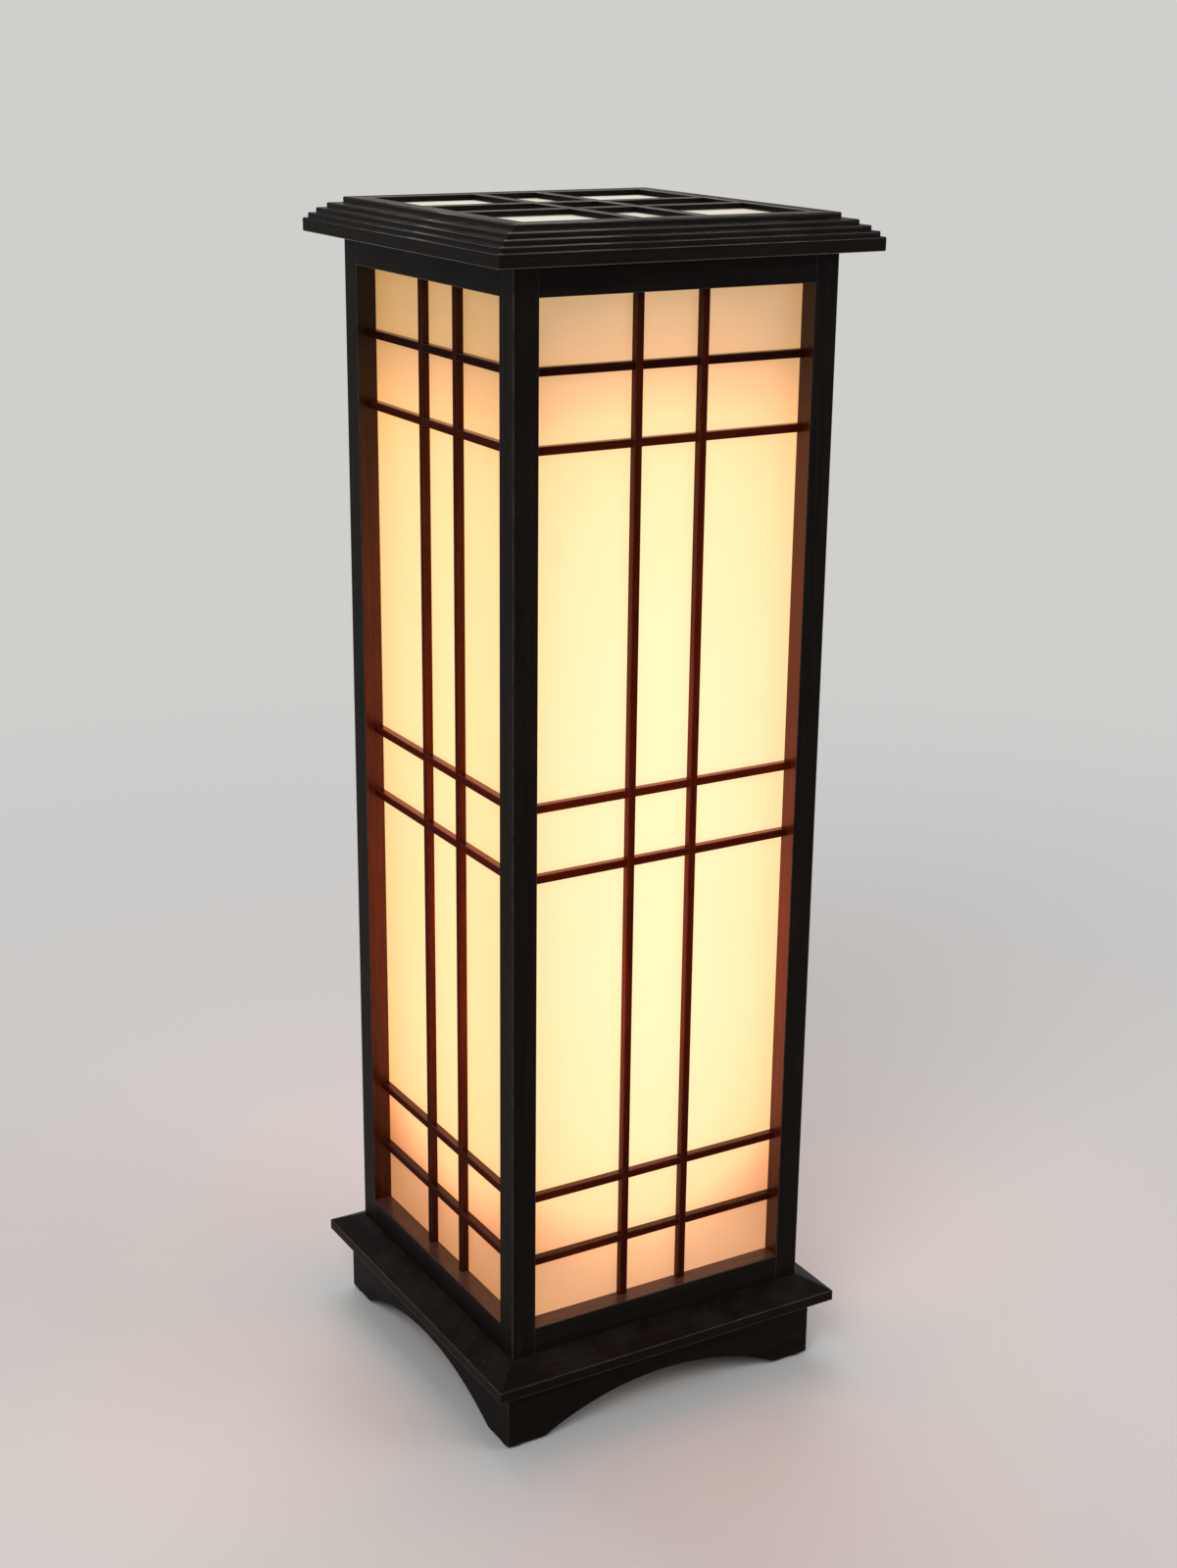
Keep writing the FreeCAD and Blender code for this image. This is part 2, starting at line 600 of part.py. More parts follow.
nutBlank = doc.addObject("Part::Prism", "nut_blank")
nutBlank.Polygon = 6
nutBlank.Placement = FreeCAD.Placement(vector(0, 0, 0), FreeCAD.Rotation(vector(1, 1, 1), 120))
nutStart = "Layout.skirtInner - Sizes.nutThickness"
place(nutBlank, nutStart, "0", "Layout.inletHeight")
nutBlank.setExpression("Circumradius", "(Layout.jackHole / 2 + Sizes.nutWall) * 2 / sqrt(3)")
nutBlank.setExpression("Height", "Sizes.nutThickness")
nutBore = cylinder("nut_bore", (nutStart, "0", "Layout.inletHeight"), "Layout.jackHole",
                   "Sizes.nutThickness", True)
nodes.append(combine("Cut", "jack_nut", nutBlank, nutBore, sides["back"]))

lead = newBody("supply_lead", sides["back"])
leadPath = newSketch(lead, "XZ_Plane")
bendTop = "Layout.inletHeight + Sizes.leadBend"
leadEnd = "Layout.coreBottom + Sizes.collarHeight"
bendMiddle = vector(number("Sizes.leadBend"), number(bendTop), 0)
bendStart = vector(bendMiddle.x, number("Layout.inletHeight"), 0)
bendFinish = vector(0, bendMiddle.y, 0)
bendCircle = Part.Circle(bendMiddle, vector(0, 0, 1), bendMiddle.x)
leadPath.addGeometry(Part.LineSegment(vector(number(jackStart), bendStart.y, 0), bendStart), False)
leadPath.addGeometry(Part.ArcOfCircle(bendCircle, math.pi, 1.5 * math.pi), False)
leadPath.addGeometry(Part.LineSegment(bendFinish, vector(0, number(leadEnd), 0)), False)
pin(leadPath, 0, 1, jackStart, "Layout.inletHeight")
pin(leadPath, 0, 2, "Sizes.leadBend", "Layout.inletHeight")
pin(leadPath, 1, 3, "Sizes.leadBend", bendTop)
pin(leadPath, 2, 2, "0", leadEnd)
leadPath.addConstraint(Sketcher.Constraint("Coincident", 1, 2, 0, 2))
leadPath.addConstraint(Sketcher.Constraint("Coincident", 1, 1, 2, 1))
leadPath.addConstraint(Sketcher.Constraint("Horizontal", 1, 1, 1, 3))
leadSection = newSketch(lead, "YZ_Plane", jackStart)
addCircle(leadSection, "0", "Layout.inletHeight", "Sizes.leadDiameter")
leadPipe = lead.newObject("PartDesign::AdditivePipe", "lead_pipe")
leadPipe.Profile = leadSection
leadPipe.Spine = (leadPath, [])


# Roof: four mitred stepped mouldings, a panel in their groove, a half-lapped lattice and locating cleats

roofSteps = [
    ("Layout.roofHalf", "Layout.fasciaTop"),
    ("Layout.secondHalf", "Layout.secondTop"),
    ("Layout.thirdHalf", "Layout.thirdTop"),
    ("Layout.fourthHalf", "Layout.fourthTop"),
    ("Layout.topHalf", "Layout.roofTop"),
]


def roofProfile():
    points = [("Layout.roofInner", "Layout.frameTop")]
    level = "Layout.frameTop"
    for reach, top in roofSteps:
        points.append((reach, level))
        points.append((reach, top))
        level = top
    points += [
        ("Layout.roofOpenHalf", "Layout.roofTop"),
        ("Layout.roofOpenHalf", "Layout.fourthTop"),
        ("Layout.grooveHalf", "Layout.fourthTop"),
        ("Layout.grooveHalf", "Layout.roofPanelBottom"),
        ("Layout.roofOpenHalf", "Layout.roofPanelBottom"),
        ("Layout.roofOpenHalf", "Layout.fasciaTop"),
        ("Layout.roofInner", "Layout.fasciaTop"),
    ]
    return points


def makeRoofMoulding(side, angle):
    body = newBody(f"roof_moulding_{side}", angle)
    section = newSketch(body, "XZ_Plane")
    addOutline(section, roofProfile())
    moulding = pad(body, section, "2 * Layout.roofHalf", "Symmetric")
    roundEdges(body, moulding, [lineAt("x", "z", reach, top) for reach, top in roofSteps])
    cutMitres(body, "Layout.roofInner", "Layout.roofHalf")


for side, angle in sides.items():
    makeRoofMoulding(side, angle)

roofPanel = newBody("roof_panel")
roofPanelPlan = newSketch(roofPanel, "XY_Plane", "Layout.roofPanelBottom")
roofPanelHalf = "(Layout.grooveHalf - Sizes.grooveGap)"
addRectangle(roofPanelPlan, f"-{roofPanelHalf}", f"-{roofPanelHalf}", roofPanelHalf, roofPanelHalf)
pad(roofPanel, roofPanelPlan, "Sizes.roofPanelThickness")

roofLapPlane = "Layout.fourthTop + Sizes.topStepHeight / 2"


def roofBar(name, middle, bottom, top):
    return box(name, (f"{middle} - Sizes.roofBarWidth / 2", "-Layout.roofOpenHalf", bottom),
               (f"{middle} + Sizes.roofBarWidth / 2", "Layout.roofOpenHalf", top))


roofBars = group("roof_bars", [roofBar("roof_bar", middle, "Layout.fourthTop", "Layout.roofTop")
                               for middle in uprightMiddles])
lowerLaps = group("roof_lower_laps", [roofBar("roof_lower_lap", middle, "Layout.fourthTop", roofLapPlane)
                                      for middle in uprightMiddles], sides["back"])
upperLaps = group("roof_upper_laps", [roofBar("roof_upper_lap", middle, roofLapPlane, "Layout.roofTop")
                                      for middle in uprightMiddles], sides["back"])
nodes.append(combine("Cut", "roof_bars_front_to_back", roofBars, lowerLaps))
nodes.append(combine("Cut", "roof_bars_side_to_side", roofBars, upperLaps, sides["back"]))

cleatHalf = "(Layout.cleatInner - Sizes.cleatCornerGap)"
cleat = box("roof_cleat", ("Layout.cleatInner", f"-{cleatHalf}", "Layout.frameTop - Sizes.cleatHeight"),
            ("Layout.cleatOuter", cleatHalf, "Layout.frameTop"))
nodes.append(ring("roof_cleats", [cleat]))


# Checks and files

doc.recompute()
for item in doc.Objects:
    if "Invalid" in item.State or "Error" in item.State:
        raise RuntimeError(f"{item.Label} failed: {item.State}")
    if item.TypeId == "PartDesign::Pocket" and item.Shape.Volume >= item.BaseFeature.Shape.Volume:
        raise RuntimeError(f"{item.Label} cuts nothing")
for node in nodes:
    if node.Shape.isNull() or not node.Shape.isValid() or not node.Shape.Solids:
        raise RuntimeError(f"{node.Label} has no valid solid")

os.makedirs("parts", exist_ok=True)
for node in nodes:
    solids = node.Shape.Solids
    shape = solids[0] if len(solids) == 1 else Part.makeCompound(solids)
    shape.exportStep(f"parts/{node.Label}.step")
print(len(nodes), "nodes,", sum(len(node.Shape.Solids) for node in nodes), "solids")
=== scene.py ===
import math

import bmesh
import bpy
from mathutils import Matrix, Vector


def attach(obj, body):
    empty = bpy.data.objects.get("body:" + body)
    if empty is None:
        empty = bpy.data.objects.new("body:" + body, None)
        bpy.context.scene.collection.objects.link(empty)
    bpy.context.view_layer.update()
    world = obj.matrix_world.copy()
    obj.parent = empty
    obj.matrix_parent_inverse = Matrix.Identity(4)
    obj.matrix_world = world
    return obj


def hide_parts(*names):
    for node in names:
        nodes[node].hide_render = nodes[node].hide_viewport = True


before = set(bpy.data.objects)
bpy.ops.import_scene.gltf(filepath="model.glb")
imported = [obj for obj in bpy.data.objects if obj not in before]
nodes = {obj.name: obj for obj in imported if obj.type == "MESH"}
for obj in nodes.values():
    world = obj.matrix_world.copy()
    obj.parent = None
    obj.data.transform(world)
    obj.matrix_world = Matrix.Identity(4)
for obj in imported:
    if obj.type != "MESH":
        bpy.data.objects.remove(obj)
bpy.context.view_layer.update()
scene = bpy.context.scene
sides = ("front", "right", "back", "left")
corners = ("front_left", "front_right", "back_right", "back_left")
white = (1.0, 1.0, 1.0, 1.0)
black = (0.0, 0.0, 0.0, 1.0)
noiseSpan = (0.3, 0.7)  # nearly all of a noise lies between these
print("frame loaded:", len(nodes), "nodes")


def fillInputs(tree, node, inputs):
    for key, value in inputs.items():
        if isinstance(value, bpy.types.NodeSocket):
            tree.links.new(value, node.inputs[key])
        else:
            node.inputs[key].default_value = value


def addNode(tree, kind, inputs=None, **settings):
    node = tree.nodes.new("ShaderNode" + kind)
    for name, value in settings.items():
        setattr(node, name, value)
    fillInputs(tree, node, inputs or {})
    return node


def addMath(tree, operation, *values, clamp=False):
    return addNode(tree, "Math", dict(enumerate(values)), operation=operation, use_clamp=clamp).outputs[0]


def addNoise(tree, vector, scale, detail, roughness=0.5, distortion=0.0):
    inputs = {"Vector": vector, "Scale": scale, "Detail": detail, "Roughness": roughness}
    return addNode(tree, "TexNoise", dict(inputs, Distortion=distortion)).outputs[0]


def spread(tree, value, fromLow, fromHigh, toLow=0.0, toHigh=1.0, curve="LINEAR"):
    inputs = {0: value, 1: fromLow, 2: fromHigh, 3: toLow, 4: toHigh}
    return addNode(tree, "MapRange", inputs, interpolation_type=curve).outputs[0]


def vary(tree, noise, span=(0.0, 1.0)):
    return spread(tree, noise, *noiseSpan, *span)


def mixColours(tree, factor, first, second, blend="MIX"):
    inputs = {0: factor, 6: first, 7: second}  # a Mix node's colour sockets, its colour result is 2
    return addNode(tree, "Mix", inputs, data_type="RGBA", blend_type=blend).outputs[2]


def addRamp(tree, value, stops, interpolation="LINEAR"):
    ramp = addNode(tree, "ValToRGB", {0: value})
    ramp.color_ramp.interpolation = interpolation
    points = ramp.color_ramp.elements
    while len(points) < len(stops):
        points.new(0.5)
    for point, (position, colour) in zip(points, stops):
        point.position = position
        point.color = colour
    return ramp.outputs[0]


def objectPlace(tree):
    return addNode(tree, "TexCoord").outputs["Object"]


def split(tree, vector):
    return addNode(tree, "SeparateXYZ", {0: vector}).outputs


def stretch(tree, vector, factors):
    return addNode(tree, "VectorMath", {0: vector, 1: factors}, operation="MULTIPLY").outputs[0]


def lengthOf(tree, vector):
    return addNode(tree, "VectorMath", {0: vector}, operation="LENGTH").outputs["Value"]


def shade(colour, share):
    return tuple(share * part for part in colour[:3]) + (1.0,)


def startGroup(name, inputs, outputs):
    tree = bpy.data.node_groups.new(name, "ShaderNodeTree")
    for label, kind, value in inputs:
        socket = tree.interface.new_socket(name=label, in_out="INPUT", socket_type="NodeSocket" + kind)
        socket.default_value = value
    for label, kind in outputs:
        tree.interface.new_socket(name=label, in_out="OUTPUT", socket_type="NodeSocket" + kind)
    entry = tree.nodes.new("NodeGroupInput")
    leave = tree.nodes.new("NodeGroupOutput")
    return tree, entry.outputs, leave


def useGroup(tree, group, inputs=None):
    return addNode(tree, "Group", inputs, node_tree=group).outputs


def startMaterial(name, **plain):
    material = bpy.data.materials.new(name)
    material.use_nodes = True
    tree = material.node_tree
    tree.nodes.clear()
    shader = addNode(tree, "BsdfPrincipled", {key.replace("_", " "): value for key, value in plain.items()})
    addNode(tree, "OutputMaterial", {"Surface": shader.outputs[0]})
    return material, tree, shader


def addBump(tree, shader, height, strength, distance):
    bump = addNode(tree, "Bump", {"Height": height, "Strength": strength, "Distance": distance})
    fillInputs(tree, shader, {"Normal": bump.outputs[0]})


timberGrain = {
    "axes": {  # stretch of streaks and of pores for timber lying along each axis
        "x": ((10.0, 330.0, 330.0), (70.0, 1500.0, 1500.0)),
        "y": ((330.0, 10.0, 330.0), (1500.0, 70.0, 1500.0)),
        "z": ((330.0, 330.0, 10.0), (1500.0, 1500.0, 70.0)),
    },
    "figure": (1.0, 6.0, 0.62, 0.4),  # scale, detail, roughness and distortion of each noise
    "pores": (1.0, 2.0),
    "cloud": (26.0, 3.0, 0.55),
    "figureSpan": (0.32, 0.70),  # the part of each noise that shows
    "poreSpan": (0.60, 0.72),
}


# grain of close timber: streaks, open pores and slow clouds of stain, long along the stretch's small number
def makeGrainGroup():
    streaks, dashes = timberGrain["axes"]["z"]
    tree, entry, leave = startGroup(
        "timberGrain",
        [("Stretch", "Vector", streaks), ("Pore Stretch", "Vector", dashes)],
        [("Figure", "Float"), ("Pores", "Float"), ("Cloud", "Float")])
    place = objectPlace(tree)
    figure = addNoise(tree, stretch(tree, place, entry["Stretch"]), *timberGrain["figure"])
    pores = addNoise(tree, stretch(tree, place, entry["Pore Stretch"]), *timberGrain["pores"])
    fillInputs(tree, leave, {
        "Figure": spread(tree, figure, *timberGrain["figureSpan"]),
        "Pores": spread(tree, pores, *timberGrain["poreSpan"]),
        "Cloud": addNoise(tree, place, *timberGrain["cloud"]),
    })
    return tree


settledDust = {
    "facing": (0.75, 0.98),  # how level a face lies before it holds dust, and holds all of it
    "film": (55.0, 5.0, 0.65),  # scale, detail and roughness
    "filmSpan": (0.38, 0.75),
    "speckScale": 210.0,
    "speckEdge": (0.10, 0.05),
    "speckRarity": (0.80, 0.82),
    "speckStrength": 0.55,
}


# thin film of dust with a few specks, only on what faces up
def makeDustGroup():
    tree, entry, leave = startGroup("settledDust", [("Amount", "Float", 0.3)], [("Dust", "Float")])
    place = objectPlace(tree)
    upward = split(tree, addNode(tree, "NewGeometry").outputs["Normal"])[2]
    facing = spread(tree, upward, *settledDust["facing"])
    film = spread(tree, addNoise(tree, place, *settledDust["film"]), *settledDust["filmSpan"])
    cells = addNode(tree, "TexVoronoi", {"Vector": place, "Scale": settledDust["speckScale"]}).outputs
    speck = spread(tree, cells["Distance"], *settledDust["speckEdge"])
    chance = addNode(tree, "SeparateColor", {0: cells["Color"]}).outputs[0]
    specks = addMath(tree, "MULTIPLY", speck, spread(tree, chance, *settledDust["speckRarity"]))
    soft = addMath(tree, "MULTIPLY", film, entry["Amount"])
    dust = addMath(tree, "MAXIMUM", soft, addMath(tree, "MULTIPLY", specks, settledDust["speckStrength"]))
    fillInputs(tree, leave, {"Dust": addMath(tree, "MULTIPLY", dust, facing)})
    return tree


rubPatches = (70.0, 5.0, 0.7)  # scale, detail and roughness


# broken patches where an arris has been rubbed
def makeRubGroup():
    tree, entry, leave = startGroup(
        "rubbedArris", [("Low", "Float", 0.45), ("High", "Float", 0.7)], [("Rub", "Float")])
    patches = addNoise(tree, objectPlace(tree), *rubPatches)
    fillInputs(tree, leave, {"Rub": spread(tree, patches, entry["Low"], entry["High"])})
    return tree


# painted glow: the colour turns paler and redder along the lit length of the core
lampFade = {
    "foot": (0.07, 0.19),  # heights where the painted glow sets in and is full
    "head": (0.56, 0.40),
}


def makeFadeGroup():
    tree, entry, leave = startGroup("fadedStain", [("Amount", "Float", 1.0)], [("Fade", "Float")])
    height = split(tree, objectPlace(tree))[2]
    rising, falling = (spread(tree, height, *lampFade[end]) for end in ("foot", "head"))
    lit = addMath(tree, "MULTIPLY", rising, falling)
    fillInputs(tree, leave, {"Fade": addMath(tree, "MULTIPLY", lit, entry["Amount"])})
    return tree


# painted shade towards the head, its share beside a wide panel and beside a narrow one
def makeHeadGroup():
    tree, entry, leave = startGroup(
        "fullerHead",
        [("Low", "Float", 0.42), ("High", "Float", 0.55), ("Wide", "Float", 0.5), ("Narrow", "Float", 1.0)],
        [("Shade", "Float")])
    facing = split(tree, addNode(tree, "NewGeometry").outputs["Normal"])
    deepest = spread(tree, addMath(tree, "ABSOLUTE", facing[1]), 0.0, 1.0, entry["Wide"], entry["Narrow"])
    risen = spread(tree, split(tree, objectPlace(tree))[2], entry["Low"], entry["High"])
    fillInputs(tree, leave, {"Shade": addMath(tree, "MULTIPLY", risen, deepest)})
    return tree


fineSpeckle = {
    "scale": 900.0,
    "grit": (3.0, 0.6),  # detail and roughness
    "cloud": (45.0, 3.0, 0.55),
}


# faint moulding cloud and fine speckle for plastics and metal
def makeSpeckleGroup():
    tree, entry, leave = startGroup(
        "fineSpeckle", [("Scale", "Float", fineSpeckle["scale"])], [("Speckle", "Float"), ("Cloud", "Float")])
    place = objectPlace(tree)
    fillInputs(tree, leave, {
        "Speckle": addNoise(tree, place, entry["Scale"], *fineSpeckle["grit"]),
        "Cloud": addNoise(tree, place, *fineSpeckle["cloud"]),
    })
    return tree


grainGroup = makeGrainGroup()
dustGroup = makeDustGroup()
rubGroup = makeRubGroup()
fadeGroup = makeFadeGroup()
headGroup = makeHeadGroup()
speckleGroup = makeSpeckleGroup()
print("shader groups ready")

frameLacquer = {
    "dark": (0.0048, 0.0040, 0.0036, 1.0),  # stain at its fullest
    "warm": (0.0128, 0.0078, 0.0058, 1.0),  # timber showing through
    "cloudTone": (0.35, 1.0),  # how far the clouds of stain hide the figure
    "pore": (0.0030, 0.0024, 0.0022, 1.0),
    "poreShade": 0.7,
    "rubbed": (0.0480, 0.0380, 0.0315, 1.0),  # arrises worn towards the wood
    "wear": None,
    "headShade": None,  # painted shade at the head, its share beside a wide panel and beside a narrow one
    "headSpan": (0.42, 0.55),  # heights over which the painted shade comes in
    # share of painted glow, a paler and redder colour along the core's lit length
    "fade": 0.0,
    "faded": (2.35, 1.25, 0.9, 1.0),  # how much paler and redder the painted glow turns the colour
    "dust": (0.16, 0.15, 0.135, 1.0),
    "dustAmount": 0.07,
    "dustRoughness": 0.3,
    "roughness": (0.28, 0.42),
    "specular": 0.022,
    "coat": 0.02,
    "coatRoughness": 0.18,
    "bump": 0.22,
    "bumpDepth": 0.00025,
    "figureRise": 0.35,
    "poreFall": 0.8,
}
# eased edges, polished by handling
arrisLacquer = dict(frameLacquer, specular=0.15, coat=0.08, wear=(0.38, 0.75))
# the roof's upward faces hold more dust: partly real dust, partly painted light that makes the treads lighter
# than the risers
roofLacquer = dict(frameLacquer, dust=(0.20, 0.150, 0.105, 1.0), dustAmount=0.32)
# the roof's arrises: partly real wear, partly a painted highlight, a paler rubbed colour along the step edges
roofArris = dict(
    arrisLacquer, rubbed=(0.105, 0.098, 0.088, 1.0), wear=(0.18, 0.60), dustAmount=0.15,
    specular=0.24, coat=0.15)
# the lattice carries a thinner, redder coat and a painted glow along its lit length; the reveals and the
# sills carry painted light, a redder, paler colour than the frame's
latticeLacquer = dict(
    frameLacquer, dark=(0.0184, 0.0036, 0.0014, 1.0), warm=(0.0610, 0.0086, 0.0024, 1.0),
    dustAmount=0.04, specular=0.006, coat=0.0, fade=1.0)
latticeArris = dict(latticeLacquer, specular=0.06, wear=(0.42, 0.75))
crossHead = {"headShade": (0.6, 0.6), "headSpan": (0.50, 0.53)}  # painted shade: the uppermost crossbars are darkened
crossLacquer = dict(latticeLacquer, **crossHead)
crossArris = dict(latticeArris, **crossHead)
# the uprights' sides and the crossbars' upper faces mirror the lit panel behind them; the sides' warmer
# colour and their share of the painted glow are painted light
latticeSide = dict(
    latticeLacquer, dark=(0.0184, 0.0046, 0.0016, 1.0), warm=(0.0610, 0.0112, 0.0030, 1.0),
    fade=0.6, specular=0.06, roughness=(0.20, 0.30))
crossTop = dict(
    latticeLacquer, dark=(0.0130, 0.0029, 0.0014, 1.0), warm=(0.0430, 0.0066, 0.0024, 1.0),
    fade=0.0, specular=0.20, roughness=(0.20, 0.30))
# painted light: the posts' faces beside the panels are redder and paler than the frame, with painted shade
# towards their head
revealLacquer = dict(
    frameLacquer, dark=(0.0270, 0.0050, 0.0020, 1.0), warm=(0.0800, 0.0140, 0.0042, 1.0),
    dustAmount=0.04, specular=0.23, roughness=(0.20, 0.32), headShade=(0.5, 1.0))
# painted light: the sills and the heads of the openings are redder and paler still
sillLacquer = dict(
    revealLacquer, dark=(0.0500, 0.0185, 0.0120, 1.0), warm=(0.1350, 0.0520, 0.0350, 1.0),
    specular=0.42, headShade=None)


def useGrain(tree, axis):
    streaks, dashes = timberGrain["axes"][axis]
    return useGroup(tree, grainGroup, {"Stretch": streaks, "Pore Stretch": dashes})


def makeLacquer(name, values, axis):
    material, tree, shader = startMaterial(
        name, Specular_IOR_Level=values["specular"],
        Coat_Weight=values["coat"], Coat_Roughness=values["coatRoughness"])
    grain = useGrain(tree, axis)
    dust = useGroup(tree, dustGroup, {"Amount": values["dustAmount"]})["Dust"]
    tone = addMath(tree, "MULTIPLY", grain["Figure"], vary(tree, grain["Cloud"], values["cloudTone"]))
    colour = mixColours(tree, tone, values["dark"], values["warm"])
    pores = addMath(tree, "MULTIPLY", grain["Pores"], values["poreShade"])
    colour = mixColours(tree, pores, colour, values["pore"])
    # painted glow: the colour turns paler and redder along the lit length of the core
    if values["fade"]:
        fade = useGroup(tree, fadeGroup, {"Amount": values["fade"]})["Fade"]
        colour = mixColours(tree, fade, colour, values["faded"], "MULTIPLY")
    # painted shade at the head: the colour is darkened towards the pore colour
    if values["headShade"]:
        (low, high), (wide, narrow) = values["headSpan"], values["headShade"]
        full = useGroup(tree, headGroup, {"Low": low, "High": high, "Wide": wide, "Narrow": narrow})["Shade"]
        colour = mixColours(tree, full, colour, values["pore"])
    if values["wear"]:
        low, high = values["wear"]
        rub = useGroup(tree, rubGroup, {"Low": low, "High": high})["Rub"]
        colour = mixColours(tree, rub, colour, values["rubbed"])
    colour = mixColours(tree, dust, colour, values["dust"])
    rough = vary(tree, grain["Cloud"], values["roughness"])
    rough = addMath(tree, "MULTIPLY_ADD", dust, values["dustRoughness"], rough, clamp=True)
    fillInputs(tree, shader, {"Base Color": colour, "Roughness": rough})
    rise = addMath(tree, "MULTIPLY", grain["Figure"], values["figureRise"])
    height = addMath(tree, "MULTIPLY_ADD", grain["Pores"], -values["poreFall"], rise)
    addBump(tree, shader, height, values["bump"], values["bumpDepth"])
    return material


def makeTimberSet(axis, **finishes):
    return [makeLacquer(name + "_" + axis, values, axis) for name, values in finishes.items()]


# plain faces, eased arrises, and the faces turned to the light; on the posts, rails and uprights those carry
# painted light in their colour
postTimber = makeTimberSet("z", postTimber=frameLacquer, postArris=arrisLacquer, postReveal=revealLacquer)
uprightTimber = makeTimberSet(
    "z", latticeTimber=latticeLacquer, latticeArris=latticeArris, latticeSide=latticeSide)
railTimber, crossTimber, roofTimber = {}, {}, {}
for axis in "xy":
    railTimber[axis] = makeTimberSet(
        axis, railTimber=frameLacquer, railArris=arrisLacquer, railSill=sillLacquer)
    crossTimber[axis] = makeTimberSet(
        axis, crossTimber=crossLacquer, crossArris=crossArris, crossTop=crossTop)
    roofTimber[axis] = makeTimberSet(axis, roofTimber=roofLacquer, roofArris=roofArris)

innerTimber = {
    "dark": (0.030, 0.019, 0.013, 1.0),
    "warm": (0.085, 0.052, 0.032, 1.0),
    "roughness": (0.55, 0.72),
    "specular": 0.3,
    "bump": 0.4,
    "bumpDepth": 0.0003,
}


def makeInnerTimber(name, axis):
    material, tree, shader = startMaterial(name, Specular_IOR_Level=innerTimber["specular"])
    grain = useGrain(tree, axis)
    fillInputs(tree, shader, {
        "Base Color": mixColours(tree, grain["Figure"], innerTimber["dark"], innerTimber["warm"]),
        "Roughness": vary(tree, grain["Cloud"], innerTimber["roughness"]),
    })
    addBump(tree, shader, grain["Figure"], innerTimber["bump"], innerTimber["bumpDepth"])
    return material


boardTimber = makeInnerTimber("boardTimber", "x")
blockTimber = makeInnerTimber("blockTimber", "z")
print("timber finishes ready")

sidePanel = {
    "base": (0.22, 0.165, 0.105, 1.0),
    "clouded": 0.86,  # the base colour's darkest share
    "roughness": (0.40, 0.52),
    "specular": 0.4,
    "speckle": 700.0,
    "bump": 0.06,
    "bumpDepth": 0.0002,
    "strength": 3.4,
    "middle": 0.315,  # height where the glow is at its fullest
    "rows": (  # height and how much of the full glow it has
        (0.034, 0.0), (0.064, 0.0), (0.084, 0.22), (0.103, 0.76), (0.150, 0.93), (0.215, 1.0),
        (0.390, 1.0), (0.470, 0.90), (0.510, 0.74), (0.530, 0.24), (0.546, 0.14), (0.568, 0.0)),
    # how round the pool of light is, and its colour below the core, above it and beside it
    "wide": {  # front and back
        "Reach": 1.0, "Foot Bow": 31.0, "Head Bow": 13.0,
        "Foot": (0.2118, 0.0974, 0.0455, 1.0),
        "Head": (0.1609, 0.0970, 0.0466, 1.0),
        "Full": (0.588, 0.2478, 0.1341, 1.0),
    },
    "narrow": {  # left and right are a little dimmer and warmer
        "Reach": 1.05, "Foot Bow": 20.0, "Head Bow": 6.0,
        "Foot": (0.1694, 0.0649, 0.0233, 1.0),
        "Head": (0.1519, 0.0848, 0.0286, 1.0),
        "Full": (0.512, 0.2181, 0.0981, 1.0),
    },
    "halfway": (1.0, 1.0, 0.86, 1.0),  # between dim and full the light is more golden
    "seen": (0.303, 0.303, 0.303, 1.0),  # the panel itself shows no more than this, just past white
    "ember": (1.65, 1.0, 1.0, 1.0),  # red that runs on beside the core, for the reveals and the lattice
    "emberFoot": (0.08, 0.21),
    "emberHead": (0.45, 0.25),
    "edge": (0.90, 0.84, 0.74, 1.0),  # fall towards the posts
    "halfWidth": 0.0735,
    "cloud": (30.0, 3.0),
    "mottle": 0.05,
}


